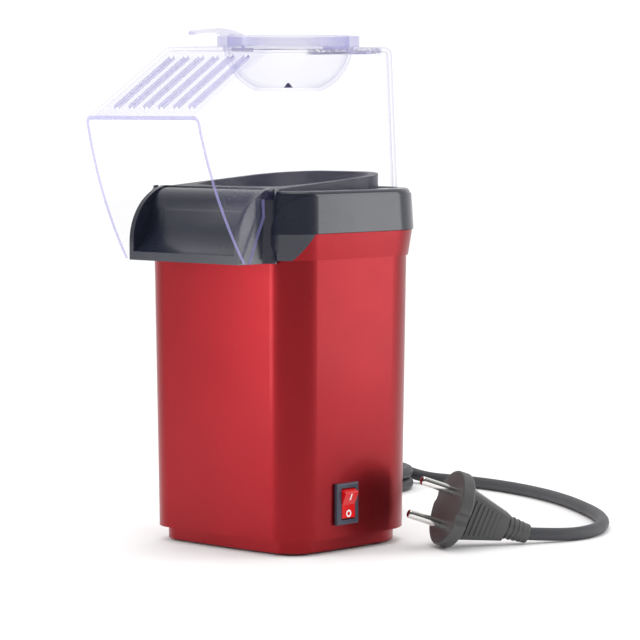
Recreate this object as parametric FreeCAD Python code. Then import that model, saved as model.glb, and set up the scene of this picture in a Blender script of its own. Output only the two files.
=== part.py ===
"""Hot-air popcorn maker: a mains appliance that blows hot air through a chamber of corn.

Millimetres, +Z up. The origin is on the surface that the feet stand on, under the axis of the
popping chamber, fan and motor. The chute faces -Y and the switch is on the +X side.
"""
import FreeCAD, Part
import math
import os

V = FreeCAD.Vector
X_AXIS = V(1, 0, 0)
Y_AXIS = V(0, 1, 0)
Z_AXIS = V(0, 0, 1)

# ---------------------------------------------------------------- driving dimensions
# outer body
body_width = 114.0            # X, at the seam under the collar
body_depth = 106.0            # Y, at the same height
body_narrowing = 1.5          # each side, from the seam down to the lower edge
front_corner = 18.0           # plan radius of the two front corners
back_corner = 30.0            # plan radius of the two back corners
side_bow = 1.5                # how far each face bulges in its middle
housing_wall = 2.2
lower_edge_z = 8.0
seam_z = 153.5
fit_gap = 0.3                 # clearance between mouldings that slide together

# collar and trim band
collar_widest_z = 167.0
collar_top_z = 189.0
collar_flare = 2.2            # each side, at its widest, over the body at the seam
collar_top_flare = 1.2        # each side, at its top
band_proud = 0.7              # each side, where the band meets the seam
skirt_wall = 2.5              # of the collar's skirt, which the band goes round
deck_bottom_z = 181.0         # underside of the collar's deck
collar_edge_radius = 2.5
band_wall = 2.4
band_end_low_y = -48.5        # the band's slanted front end, at the seam
band_end_high_y = -38.5       # and at its top
spigot_depth = 6.0            # how far the collar reaches down inside the housing

# raised side panels of the collar, which sweep round its front corners
panel_proud = 0.8
panel_top_z = 186.4
panel_bend_z = 167.0          # where the panel's upright front edge starts to sweep back
panel_edge_reach = -8.8       # the front edge's place along the diagonal that runs +X +Y

# chute
chute_width = 80.0
chute_lip_y = -76.0
chute_bottom_z = 152.0
chute_lip_height = 4.0
chute_wall = 3.0
chute_nose_z = 161.4          # top of the cheeks' upright front edge
chute_crest_y = -52.4
chute_crest_z = 190.6
slide_crest_z = 189.7         # the slide's own crest, between the cheeks
slide_waist_y = -62.3         # where the slide turns from bulging to hollow
slide_waist_z = 178.0
cheek_blend_radius = 5.0      # hollow blend from the cheeks into the front face

# funnel ring, inside the hood
funnel_half = 41.0
funnel_back_y = 47.6
funnel_front_y = -49.0
funnel_front_z = 190.0
funnel_back_z = 197.0
funnel_throat = 36.0
funnel_wall = 2.2
funnel_back_corner = 30.0

# hood
hood_wall = 2.0
hood_back_y = 50.5
hood_back_half = 44.5         # half width at the back, at the collar
hood_mouth_half = 42.6        # half width at the mouth, at the collar
hood_draft = 0.03             # inward lean of the walls, mm per mm of height
hood_back_corner = 16.0
hood_foot_z = 185.0
hood_top_z = 263.6
hood_panel_back_y = -49.0     # upper edge of the sloping panel
hood_mouth_top_y = -105.5     # upper edge of the mouth
hood_mouth_top_z = 227.5
hood_mouth_low_y = -75.0      # where the mouth's edge reaches the chute's lip
hood_mouth_low_z = 152.6
hood_mouth_bulge = 3.6        # how far the mouth's edge bows out of a straight line
hood_skirt_y = -60.5          # back edge of the side walls that go down beside the chute
hood_skirt_z = 176.0
hood_skirt_toe = 3.5
hood_edge_radius = 4.0
slot_count = 6
slot_pitch = 10.9
slot_width = 3.2
slot_upper_y = -57.6
slot_lower_y = -97.1

# measuring cup
cup_y = 3.0
cup_ring_radius = 38.0
cup_ring_height = 5.8
cup_hole_gap = 0.6
cup_bowl_radius = 34.4
cup_flat_radius = 17.3
cup_flat_z = 240.2
cup_wall = 1.8
cup_nub_height = 2.5
cup_tab_root = 30.0
cup_tab_reach = 56.0
cup_tab_width = 22.0
cup_tab_thickness = 1.8
cup_tab_top_z = 272.9
cup_tab_angle = 248.5         # degrees about Z, where the tab points
rest_gap = 0.05               # between flat faces that rest on each other

# base
base_inset = 4.7              # from the housing's lower edge to the plinth
base_bottom_z = 1.2
base_floor = 2.4
base_wall = 2.0
base_ledge_height = 2.5       # of the ledge that the housing stands round
base_boss_top_z = 8.0
foot_radius = 8.0
foot_stem_radius = 2.5
front_foot = (38.5, -34.5)
back_foot = (39.0, 22.0)
inlet_count = 9
inlet_pitch = 6.0
inlet_width = 3.0

# popping chamber, heater and fan, all on the Z axis
chamber_radius = 36.0         # inside
chamber_wall = 0.8
chamber_floor_z = 106.0
chamber_flange_radius = 45.0
flange_screw_ring = 40.0
louvre_count = 16
louvre_height = 9.0
louvre_width = 1.6
louvre_lean = 30.0            # degrees from upright
seal_height = 1.6
duct_radius = 41.0            # inside of the fan housing
duct_wall = 2.0
duct_bottom_z = 60.0
duct_top_z = 100.0
shield_wall = 0.6
duct_ledge_z = 79.0           # top of the ledge that carries the heater
duct_ledge_reach = 1.5
inlet_radius = 26.0           # of the hole in the fan housing's floor
heater_height = 18.0
mica_thickness = 1.0
mica_sleeve_wall = 0.7
coil_radii = (20.0, 30.0)
coil_levels = (6.0, 13.0)     # above the foot of the heater
coil_wire_radius = 1.6
fan_radius = 37.0
fan_bottom_z = 64.0
fan_height = 10.0
fan_hub_radius = 7.0
fan_blades = 11
blade_thickness = 1.2
motor_radius = 14.0
motor_wall = 1.0
motor_bottom_z = 24.0
motor_top_z = 58.0
end_cap_height = 4.0
rotor_radius = 9.0
magnet_thickness = 2.6
bracket_arm_width = 9.0
bracket_reach = 33.0
shaft_radius = 1.2
shaft_bottom_z = 25.5
shaft_top_z = 75.0
shaft_gap = 0.05
motor_boss_radius = 4.0
motor_screw_x = 9.0
board_half = 12.0
board_thickness = 1.2
diode_radius = 1.3
heater_lead_z = 90.0
heater_lead_hole = 2.4
flange_screw_head = 2.3
thermostat_z = 125.0
leg_radius = 4.0
leg_x = 27.5
leg_y = 27.5

# rocker switch, in the +X side
switch_y = -13.0
switch_z = 25.8
bezel_width = 16.5            # along Y
bezel_height = 21.8           # along Z
bezel_proud = 2.0
bezel_seat_gap = 0.25         # off the housing's slightly leaning face
switch_body_width = 12.8
switch_body_height = 18.6
switch_body_depth = 13.0
switch_wall = 1.2
rocker_width = 9.8
rocker_end_radius = 8.0       # its ends are round about the pivot
rocker_gap = 0.25
rocker_pivot_depth = 2.5      # behind the front of the bezel
rocker_waist = 2.8            # pivot to the middle of the face
rocker_horn = 4.2             # pivot to the ends of the face
rocker_rest_tilt = 11.0       # degrees, the I end out, the O end pressed in
rocker_pin_radius = 1.0
blade_pivot_depth = 7.5       # rocker pivot to contact blade
blade_half_length = 5.5
contact_blade_thickness = 0.5
blade_bead_radius = 0.55       # rolled bead that the contact blade rocks on
contact_stud_inset = 1.2
contact_stud_height = 0.5
contact_stud_radius = 0.9
blade_rest_tilt = -6.0
terminal_length = 8.0

# mains cord and plug
cord_radius = 3.5
cord_entry_x = -16.0
cord_entry_z = 17.0
relief_length = 30.0
relief_root_radius = 6.0
relief_tip_radius = 4.4
relief_neck_radius = 4.6      # where it passes through the housing
relief_flange_radius = 6.0
relief_flange_thickness = 2.0

# ---------------------------------------------------------------- worked-out sizes
back_y = body_depth / 2
side_x = body_width / 2
bezel_face_x = side_x - body_narrowing * (seam_z - switch_z) / (seam_z - lower_edge_z)

chamber_flange_top_z = deck_bottom_z - seal_height
chamber_flange_bottom_z = chamber_flange_top_z - chamber_wall
diagonal_share = math.sqrt(0.5)
flange_screw_places = [(sx * flange_screw_ring * diagonal_share, sy * flange_screw_ring
                        * diagonal_share) for sx in (-1, 1) for sy in (-1, 1)]


# ---------------------------------------------------------------- small shape helpers
def box(x0, x1, y0, y1, z0, z1):
    """A block between two corners."""
    return Part.makeBox(x1 - x0, y1 - y0, z1 - z0, V(x0, y0, z0))


def cylinder(radius, z0, z1, x=0.0, y=0.0):
    """An upright cylinder."""
    return Part.makeCylinder(radius, z1 - z0, V(x, y, z0))


def ring(outer, inner, z0, z1, x=0.0, y=0.0):
    """An upright tube."""
    return cylinder(outer, z0, z1, x, y).cut(cylinder(inner, z0, z1, x, y))


def rod(start, end, radius):
    """A cylinder from one point to another."""
    axis = end.sub(start)
    return Part.makeCylinder(radius, axis.Length, start, axis)


def fuse_all(shapes):
    """One solid from overlapping ones."""
    return shapes[0].multiFuse(shapes[1:]).removeSplitter() if len(shapes) > 1 else shapes[0]


def group(shapes):
    """Separate solids that share one node."""
    return Part.makeCompound(shapes)


def turned_about_z(shape, degrees):
    """A copy turned about the Z axis."""
    copy = shape.copy()
    copy.rotate(V(0, 0, 0), Z_AXIS, degrees)
    return copy


def mirrored_in_x(shape):
    """A copy on the other side of the YZ plane."""
    return shape.mirror(V(0, 0, 0), X_AXIS)


def side_profile(points, half_width):
    """A block with an outline of (y, z) points, which runs across the body in X."""
    corners = [V(-half_width, y, z) for y, z in points]
    face = Part.Face(Part.makePolygon(corners + corners[:1]))
    return face.extrude(V(2 * half_width, 0, 0))


def bow_circle(half_length, reach, sign, along_x):
    """Centre and radius of the circle that a bowed side follows."""
    radius = (half_length ** 2 + side_bow ** 2) / (2 * side_bow)
    offset = sign * (reach - radius)
    return (V(0, offset, 0) if along_x else V(offset, 0, 0)), radius


def corner_centre(face_centre, face_reach, side_centre, side_reach, toward):
    """Where two circles about the sides' centres cross, on the side that toward points to."""
    between = side_centre.sub(face_centre)
    distance = between.Length
    along = (face_reach ** 2 - side_reach ** 2 + distance ** 2) / (2 * distance)
    across = math.sqrt(face_reach ** 2 - along ** 2)
    unit = between.multiply(1 / distance)
    normal = V(-unit.y, unit.x, 0)
    if normal.dot(toward) < 0:
        normal = normal.multiply(-1)
    return face_centre.add(V(unit).multiply(along)).add(normal.multiply(across))


def body_outline(width, depth, z, front=front_corner, back=back_corner):
    """The body's plan at a height: four slightly bowed sides joined by round corners."""
    corners = []
    for x_sign, y_sign, radius in ((1, -1, front), (1, 1, back), (-1, 1, back), (-1, -1, front)):
        face_centre, face_radius = bow_circle(width / 2, depth / 2, y_sign, True)
        flank_centre, flank_radius = bow_circle(depth / 2, width / 2, x_sign, False)
        centre = corner_centre(face_centre, face_radius - radius, flank_centre,
                               flank_radius - radius, V(x_sign, y_sign, 0))
        to_face = centre.sub(face_centre).normalize().multiply(radius)
        to_flank = centre.sub(flank_centre).normalize().multiply(radius)
        middle = to_face.add(to_flank).normalize().multiply(radius)
        ends = [centre.add(to_face), centre.add(middle), centre.add(to_flank)]
        if x_sign != -y_sign:
            ends.reverse()
        corners.append(ends)
    lift = V(0, 0, z)
    sides = [V(width / 2, 0, 0), V(0, depth / 2, 0), V(-width / 2, 0, 0), V(0, -depth / 2, 0)]
    edges = []
    for index, (start, middle, end) in enumerate(corners):
        after = corners[(index + 1) % 4][0]
        edges.append(Part.Arc(start.add(lift), middle.add(lift), end.add(lift)).toShape())
        edges.append(Part.Arc(end.add(lift), sides[index].add(lift), after.add(lift)).toShape())
    return Part.Wire(edges)


def body_loft(sections):
    """A solid through body outlines given as (width, depth, z, inset of the corners)."""
    wires = []
    for width, depth, z, inset in sections:
        wires.append(body_outline(width, depth, z, front_corner - inset, back_corner - inset))
    return Part.makeLoft(wires, True, True)


def body_size_at(z, inset):
    """Width and depth of the housing's outside at a height, less an inset all round."""
    narrowing = 2 * body_narrowing * (seam_z - z) / (seam_z - lower_edge_z)
    return body_width - narrowing - 2 * inset, body_depth - narrowing - 2 * inset


def body_section(z, inset):
    """One section for body_loft that follows the housing's own taper."""
    width, depth = body_size_at(z, inset)
    return width, depth, z, inset


# ---------------------------------------------------------------- housing and trim band
def make_housing():
    """The red outer shell, open at the top and bottom."""
    outer = body_loft([body_section(lower_edge_z, 0), body_section(seam_z, 0)])
    inner = body_loft([body_section(lower_edge_z - 1, housing_wall),
                       body_section(seam_z + 1, housing_wall)])
    shell = outer.cut(inner)
    half_width = switch_body_width / 2 + fit_gap
    half_height = switch_body_height / 2 + fit_gap
    switch_hole = box(side_x - 10, side_x + 10, switch_y - half_width, switch_y + half_width,
                      switch_z - half_height, switch_z + half_height)
    cord_hole = rod(V(cord_entry_x, back_y - 8, cord_entry_z),
                    V(cord_entry_x, back_y + 8, cord_entry_z), relief_neck_radius + fit_gap)
    return shell.cut(switch_hole).cut(cord_hole)


def collar_section(z, inset):
    """One section of the collar: it flares from the seam to its widest, then leans in."""
    if z <= collar_widest_z:
        share = (z - seam_z) / (collar_widest_z - seam_z)
        flare = band_proud + (collar_flare - band_proud) * share
    else:
        share = (z - collar_widest_z) / (collar_top_z - collar_widest_z)
        flare = collar_flare + (collar_top_flare - collar_flare) * share
    grow = 2 * (flare - inset)
    return body_width + grow, body_depth + grow, z, inset


def band_region(gap):
    """The space behind the band's slanted ends and under its level top."""
    slant = (band_end_high_y - band_end_low_y) / (collar_widest_z - seam_z)
    below = seam_z - 1
    above = collar_widest_z - gap
    return side_profile([(band_end_low_y + gap - slant, below), (band_end_high_y + gap, above),
                         (back_y + 10, above), (back_y + 10, below)], body_width)


def make_trim_band():
    """The red band above the seam: round the back and both sides, ending at the front corners."""
    outer = body_loft([collar_section(seam_z, 0), collar_section(collar_widest_z, 0)])
    inner = body_loft([collar_section(seam_z, band_wall),
                       collar_section(collar_widest_z, band_wall)])
    return outer.cut(inner).common(band_region(0.0))


# ---------------------------------------------------------------- collar, chute and funnel ring
def arc_edge(first, middle, last):
    """An arc in the YZ plane through three (y, z) points."""
    points = [V(0, y, z) for y, z in (first, middle, last)]
    return Part.Arc(*points).toShape()


def line_edges(points):
    """Straight edges in the YZ plane through (y, z) points."""
    corners = [V(0, y, z) for y, z in points]
    return [Part.makeLine(a, b) for a, b in zip(corners, corners[1:])]


def across(edges, half_width):
    """A block from edges in the YZ plane, which runs across the body in X."""
    face = Part.Face(Part.Wire(Part.__sortEdges__(edges)))
    face.translate(V(-half_width, 0, 0))
    return face.extrude(V(2 * half_width, 0, 0))


def chute_block(half_width):
    """The chute with its two cheeks, before it is hollowed."""
    lip_low = (chute_lip_y, chute_bottom_z)
    nose = (chute_lip_y, chute_nose_z)
    crest = (chute_crest_y, chute_crest_z)
    bulge = (chute_lip_y + 7.0, chute_nose_z + 19.2)
    root_y = -body_depth / 2 + skirt_wall
    edges = [arc_edge(nose, bulge, crest)]
    clear_y = -body_depth / 2 - fit_gap
    edges += line_edges([crest, (root_y, chute_crest_z), (root_y, seam_z), (clear_y, seam_z),
                         (clear_y, chute_bottom_z), lip_low, nose])
    return across(edges, half_width)


def cheek_blend():
    """The hollow blend from the +X cheek into the collar's front face."""
    face_y = -(body_depth / 2 + band_proud)
    edge_x = chute_width / 2 + cheek_blend_radius
    edge_y = face_y - cheek_blend_radius
    corner = box(chute_width / 2, edge_x, edge_y, face_y + skirt_wall, chute_bottom_z,
                 chute_crest_z)
    corner = corner.cut(cylinder(cheek_blend_radius, chute_bottom_z - 1, chute_crest_z + 1,
                                 edge_x, edge_y))
    return corner.common(chute_block(edge_x))


def slide_cut():
    """What is taken away between the cheeks, over the curved slide."""
    crest = (chute_crest_y, slide_crest_z)
    bulge = (slide_waist_y + 3.5, slide_waist_z + 9.0)
    waist = (slide_waist_y, slide_waist_z)
    hollow = (slide_waist_y - 3.6, slide_waist_z - 12.5)
    lip = (chute_lip_y - 1.0, chute_bottom_z + chute_lip_height)
    edges = [arc_edge(crest, bulge, waist), arc_edge(waist, hollow, lip)]
    outside_y = chute_lip_y - 10
    top_z = chute_crest_z + 5
    back = -body_depth / 2 + skirt_wall - 1
    edges += line_edges([lip, (outside_y, lip[1]), (outside_y, top_z), (back, top_z),
                         (back, slide_crest_z), crest])
    return across(edges, chute_width / 2 - chute_wall)


def chute_hollow():
    """The space behind the slide, open to the inside of the collar."""
    floor_z = chute_bottom_z + chute_lip_height - 1
    back = -body_depth / 2 + 2 * skirt_wall + 2
    points = [(back, floor_z), (slide_waist_y - 1.0, floor_z),
              (slide_waist_y + chute_wall, slide_waist_z - 8),
              (slide_waist_y + chute_wall + 1, slide_waist_z),
              (chute_crest_y + 1.0, deck_bottom_z), (back, deck_bottom_z)]
    return side_profile(points, chute_width / 2 - 2 * chute_wall)


def collar_solid(inset, top_z):
    """The collar's outside, or a smaller one inside it."""
    sections = [collar_section(seam_z, inset), collar_section(collar_widest_z, inset),
                collar_section(top_z, inset)]
    return body_loft(sections)


def side_panel():
    """The raised panel on the +X half: its front edge sweeps up and back round the corner."""
    turn = collar_top_z - panel_bend_z - (collar_top_z - panel_top_z)
    start = V(panel_edge_reach, 0, panel_bend_z)
    end = V(panel_edge_reach + turn, 0, panel_top_z)
    low_z = seam_z
    far = body_width
    bend = V(start.x + turn * (1 - math.cos(math.pi / 4)), 0,
             start.z + turn * math.sin(math.pi / 4))
    corners = [end, V(far, 0, panel_top_z), V(far, 0, low_z), V(panel_edge_reach, 0, low_z), start]
    edges = [Part.makeLine(a, b) for a, b in zip(corners, corners[1:])]
    edges.append(Part.Arc(start, bend, end).toShape())
    face = Part.Face(Part.Wire(Part.__sortEdges__(edges)))
    face.translate(V(0, far, 0))
    region = face.extrude(V(0, -2 * far, 0))
    region.rotate(V(0, 0, 0), Z_AXIS, 45)
    skin = collar_solid(-panel_proud, collar_top_z).cut(collar_solid(1.0, collar_top_z + 1))
    half = box(0, body_width, -body_depth, body_depth, low_z, collar_top_z)
    return skin.common(region).common(half)


def round_back_plan(front_half, back_half, front_y, rear_y, radius, z):
    """A plan with a square front and round back corners."""
    diagonal = radius * (1 - math.sqrt(0.5))
    front_left = V(-front_half, front_y, z)
    front_right = V(front_half, front_y, z)
    right_turn = V(back_half, rear_y - radius, z)
    left_turn = V(-back_half, rear_y - radius, z)
    right_mid = V(back_half - diagonal, rear_y - diagonal, z)
    left_mid = V(diagonal - back_half, rear_y - diagonal, z)
    right_back = V(back_half - radius, rear_y, z)
    left_back = V(radius - back_half, rear_y, z)
    return Part.Wire([Part.makeLine(front_left, front_right), Part.makeLine(front_right, right_turn),
                      Part.Arc(right_turn, right_mid, right_back).toShape(),
                      Part.makeLine(right_back, left_back),
                      Part.Arc(left_back, left_mid, left_turn).toShape(),
                      Part.makeLine(left_turn, front_left)])


def hood_plan(z, inset, front_y):
    """The hood's outline at a height."""
    shrink = hood_draft * (z - collar_top_z) + inset
    turn_y = hood_back_y - hood_back_corner
    share = (turn_y - front_y) / (turn_y - hood_mouth_top_y)
    front_half = hood_back_half + (hood_mouth_half - hood_back_half) * share
    return round_back_plan(front_half - shrink, hood_back_half - shrink, front_y,
                           hood_back_y - shrink, hood_back_corner - inset, z)


def hood_prism(z0, z1, inset, front_y):
    """The upright space inside a hood outline."""
    lower = hood_plan(z0, inset, front_y)
    upper = hood_plan(z1, inset, front_y)
    return Part.makeLoft([lower, upper], True, True)


def make_top_collar():
    """The dark moulding round the top: skirt, deck, raised side panels and chute in one."""
    skirt_inset = band_wall + fit_gap
    inner_inset = skirt_inset + skirt_wall
    outer = collar_solid(0, collar_top_z)
    top_edges = [edge for edge in outer.Edges if edge.BoundBox.ZMin > collar_top_z - 0.01]
    outer = outer.makeFillet(collar_edge_radius, top_edges)
    outer = outer.fuse(side_panel()).fuse(mirrored_in_x(side_panel()))
    band_space = collar_solid(-2 * panel_proud, collar_top_z)
    band_space = band_space.cut(collar_solid(skirt_inset, collar_top_z + 1))
    outer = outer.cut(band_space.common(band_region(-fit_gap)))
    body = outer.fuse([chute_block(chute_width / 2), cheek_blend(), mirrored_in_x(cheek_blend())])
    hollow = body_loft([collar_section(seam_z, inner_inset),
                        collar_section(deck_bottom_z, inner_inset)])
    body = body.cut(hollow)
    spigot = body_loft([body_section(seam_z - spigot_depth, housing_wall + fit_gap),
                        body_section(seam_z + 1, housing_wall + fit_gap)])
    spigot_bore = body_loft([body_section(seam_z - spigot_depth - 1, inner_inset - band_proud),
                             body_section(seam_z + 2, inner_inset - band_proud)])
    body = body.fuse(spigot.cut(spigot_bore))
    recess_top = chute_crest_z + 10
    recess = hood_prism(hood_foot_z - fit_gap, recess_top, -fit_gap, hood_skirt_y - fit_gap)
    chute_keep = box(-chute_width / 2, chute_width / 2, chute_lip_y, funnel_front_y - fit_gap,
                     chute_bottom_z, recess_top)
    recess = recess.cut(chute_keep)
    holes = [cylinder(funnel_throat + 1, deck_bottom_z - 1, collar_top_z)]
    holes += [cylinder(screw_radius + rest_gap, deck_bottom_z - 1, deck_bottom_z + 3, x, y)
              for x, y in flange_screw_places]
    body = body.cut([chute_hollow(), slide_cut(), recess] + holes)
    return body.removeSplitter()


def make_funnel_ring():
    """The dished ring round the chamber's mouth, higher at the back than at the front."""
    base_z = hood_foot_z - fit_gap + rest_gap
    top_z = funnel_back_z + 2
    tilt = (funnel_back_z - funnel_front_z) / (funnel_back_y - funnel_front_y)
    plans = []
    for z in (base_z, top_z):
        plans.append(round_back_plan(funnel_half, funnel_half, funnel_front_y, funnel_back_y,
                                     funnel_back_corner, z))
    block = Part.makeLoft(plans, True, True)
    rim = round_back_plan(funnel_half - funnel_wall, funnel_half - funnel_wall,
                          funnel_front_y + funnel_wall, funnel_back_y - funnel_wall,
                          funnel_back_corner - funnel_wall, top_z)
    throat = Part.Wire(Part.makeCircle(funnel_throat, V(0, 0, base_z)))
    dish = Part.makeLoft([throat, rim], True, False)
    over = 20
    above = side_profile([(funnel_front_y - over, funnel_front_z - over * tilt),
                          (funnel_back_y + over, funnel_back_z + over * tilt),
                          (funnel_back_y + over, top_z + over),
                          (funnel_front_y - over, top_z + over)], body_width)
    throat_bore = cylinder(funnel_throat, base_z - 1, base_z + 1)
    return block.cut(dish).cut(throat_bore).cut(above)


# ---------------------------------------------------------------- hood and measuring cup
def hood_slope():
    """Fall of the sloping panel per millimetre towards the mouth."""
    return (hood_top_z - hood_mouth_top_z) / (hood_panel_back_y - hood_mouth_top_y)


def rounded_roof(solid, radius):
    """Rounds the edges of the hood's top and of its sloping panel, but not the mouth's."""
    edges = []
    for edge in solid.Edges:
        bounds = edge.BoundBox
        on_top = bounds.ZMin > hood_top_z - hood_wall - 0.5
        rises = bounds.YLength > 30 and bounds.ZLength > 20
        on_panel = rises and bounds.ZMax > hood_top_z - hood_wall - 0.5 and bounds.YMin < -90
        if on_top or on_panel:
            edges.append(edge)
    return solid.makeFillet(radius, edges)


def hood_outside():
    """The hood as a solid block."""
    chord_y = hood_mouth_top_y - hood_mouth_low_y
    chord_z = hood_mouth_top_z - hood_mouth_low_z
    length = math.hypot(chord_y, chord_z)
    middle = ((hood_mouth_top_y + hood_mouth_low_y) / 2 - hood_mouth_bulge * chord_z / length,
              (hood_mouth_top_z + hood_mouth_low_z) / 2 + hood_mouth_bulge * chord_y / length)
    mouth_top = (hood_mouth_top_y, hood_mouth_top_z)
    mouth_low = (hood_mouth_low_y, hood_mouth_low_z)
    far_y = hood_back_y + 10
    edges = [arc_edge(mouth_top, middle, mouth_low)]
    edges += line_edges([mouth_low, (hood_mouth_low_y + hood_skirt_toe, hood_mouth_low_z),
                         (hood_skirt_y, hood_skirt_z), (hood_skirt_y, hood_foot_z),
                         (far_y, hood_foot_z), (far_y, hood_top_z),
                         (hood_panel_back_y, hood_top_z), mouth_top])
    block = hood_prism(hood_mouth_low_z - 1, hood_top_z + 1, 0, hood_mouth_top_y - 20)
    return rounded_roof(block.common(across(edges, body_width)), hood_edge_radius)


def hood_inside():
    """The space inside the hood, which runs out of its mouth and its open foot."""
    slope = hood_slope()
    drop = hood_wall * math.hypot(1, slope)
    front_y = hood_mouth_top_y - 15
    top_z = hood_top_z - hood_wall
    turn_y = hood_panel_back_y - (hood_wall - drop) / slope
    low_z = hood_mouth_low_z - 2
    profile = side_profile([(hood_back_y + 10, top_z), (turn_y, top_z),
                            (front_y, top_z - (turn_y - front_y) * slope), (front_y, low_z),
                            (hood_back_y + 10, low_z)], body_width)
    block = hood_prism(low_z - 1, hood_top_z + 1, hood_wall, front_y - 5).common(profile)
    return rounded_roof(block, hood_edge_radius - hood_wall)


def steam_slot(x):
    """One long slot with round ends, square to the sloping panel."""
    slope = hood_slope()
    normal = V(0, -slope, 1).normalize()
    down = V(0, -1, -slope).normalize()
    upper = V(x, slot_upper_y, hood_top_z + (slot_upper_y - hood_panel_back_y) * slope)
    lower = V(x, slot_lower_y, hood_top_z + (slot_lower_y - hood_panel_back_y) * slope)
    half = slot_width / 2
    side = V(half, 0, 0)
    edges = [Part.makeLine(upper.sub(side), lower.sub(side)),
             Part.Arc(lower.sub(side), lower.add(V(down).multiply(half)),
                      lower.add(side)).toShape(),
             Part.makeLine(lower.add(side), upper.add(side)),
             Part.Arc(upper.add(side), upper.sub(V(down).multiply(half)),
                      upper.sub(side)).toShape()]
    face = Part.Face(Part.Wire(edges))
    face.translate(V(normal).multiply(-3 * hood_wall))
    return face.extrude(V(normal).multiply(6 * hood_wall))


def make_hood():
    """The clear hood: open foot, open mouth over the chute, steam slots and a hole for the cup."""
    hood = hood_outside().cut(hood_inside())
    first = -(slot_count - 1) * slot_pitch / 2
    slots = [steam_slot(first + index * slot_pitch) for index in range(slot_count)]
    cup_hole = cylinder(cup_bowl_radius + cup_hole_gap, hood_top_z - 10, hood_top_z + 1, 0, cup_y)
    return hood.cut(slots).cut(cup_hole)


def cup_bowl(inset, top_z):
    """The bowl of the measuring cup as a solid: a flat bottom and a swelling side."""
    floor_z = cup_flat_z + inset
    flat = cup_flat_radius - inset / 2
    rim = cup_bowl_radius - inset
    swell = V(cup_bowl_radius - 4.9 - inset, 0, cup_flat_z + 9.6 + inset / 2)
    start = V(flat, 0, floor_z)
    end = V(rim, 0, hood_top_z)
    edges = [Part.makeLine(V(0, 0, floor_z), start), Part.Arc(start, swell, end).toShape(),
             Part.makeLine(end, V(rim, 0, top_z)), Part.makeLine(V(rim, 0, top_z), V(0, 0, top_z)),
             Part.makeLine(V(0, 0, top_z), V(0, 0, floor_z))]
    bowl = Part.Face(Part.Wire(edges)).revolve(V(0, 0, 0), Z_AXIS, 360)
    bowl.translate(V(0, cup_y, 0))
    return bowl


def cup_tab():
    """The arched tongue that the cup is lifted by."""
    tip_z = cup_tab_top_z - 1.7
    root_z = hood_top_z + cup_ring_height
    crown = V((cup_tab_root + cup_tab_reach) / 2, 0, cup_tab_top_z)
    drop = V(0, 0, -cup_tab_thickness)
    root = V(cup_tab_root, 0, root_z)
    tip = V(cup_tab_reach, 0, tip_z)
    edges = [Part.Arc(root, crown, tip).toShape(), Part.makeLine(tip, tip.add(drop)),
             Part.Arc(tip.add(drop), crown.add(drop), root.add(drop)).toShape(),
             Part.makeLine(root.add(drop), root)]
    face = Part.Face(Part.Wire(edges))
    face.translate(V(0, -cup_tab_width / 2, 0))
    tab = face.extrude(V(0, cup_tab_width, 0))
    corner = cup_tab_width / 2.5
    tips = [edge for edge in tab.Edges
            if edge.BoundBox.XMin > cup_tab_reach - 0.01 and edge.BoundBox.ZLength > 1]
    tab = tab.makeFillet(corner, tips)
    tab = turned_about_z(tab, cup_tab_angle)
    tab.translate(V(0, cup_y, 0))
    return tab


def make_measuring_cup():
    """The clear cup that measures the corn and closes the hood."""
    ring_z = hood_top_z + rest_gap
    top_z = hood_top_z + cup_ring_height
    flange = cylinder(cup_ring_radius, ring_z, top_z, 0, cup_y)
    nub = Part.makeCone(2.5, 0.6, cup_nub_height, V(0, cup_y, cup_flat_z + cup_wall))
    shell = fuse_all([cup_bowl(0, top_z), flange, cup_tab()]).cut(cup_bowl(cup_wall, top_z + 5))
    return shell.fuse(nub).removeSplitter()


# ---------------------------------------------------------------- base
leg_places = [(sx * leg_x, sy * leg_y) for sx in (-1, 1) for sy in (-1, 1)]
foot_places = [(sign * x, y) for x, y in (front_foot, back_foot) for sign in (-1, 1)]
base_floor_top_z = base_bottom_z + base_floor
ledge_bottom_z = lower_edge_z + rest_gap
ledge_top_z = ledge_bottom_z + base_ledge_height
screw_radius = 1.5
screw_head_radius = 2.8
screw_head_height = 1.8
screw_gap = 0.1
clamp_half_width = 9.5
clamp_screw_x = 6.6
clamp_front_y = 36.0
clamp_back_y = 44.0
clamp_bar_height = 2.6
inner_cord_radius = 3.3
inner_cord_end_y = 31.0


def screw(x, y, under_head_z, tip_z, radius=screw_radius, head=screw_head_radius):
    """An upright pan-head screw with a cross slot; its head is away from its tip."""
    up = 1 if tip_z > under_head_z else -1
    head_z = under_head_z - up * screw_head_height
    shank = cylinder(radius, min(under_head_z, tip_z), max(under_head_z, tip_z), x, y)
    cap = cylinder(head, min(head_z, under_head_z), max(head_z, under_head_z), x, y)
    slot_depth = screw_head_height / 2
    slot_low = min(head_z, head_z + up * slot_depth)
    for half_x, half_y in ((head * 0.7, 0.35), (0.35, head * 0.7)):
        cap = cap.cut(box(x - half_x, x + half_x, y - half_y, y + half_y, slot_low,
                          slot_low + slot_depth))
    return shank.fuse(cap).removeSplitter()


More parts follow.
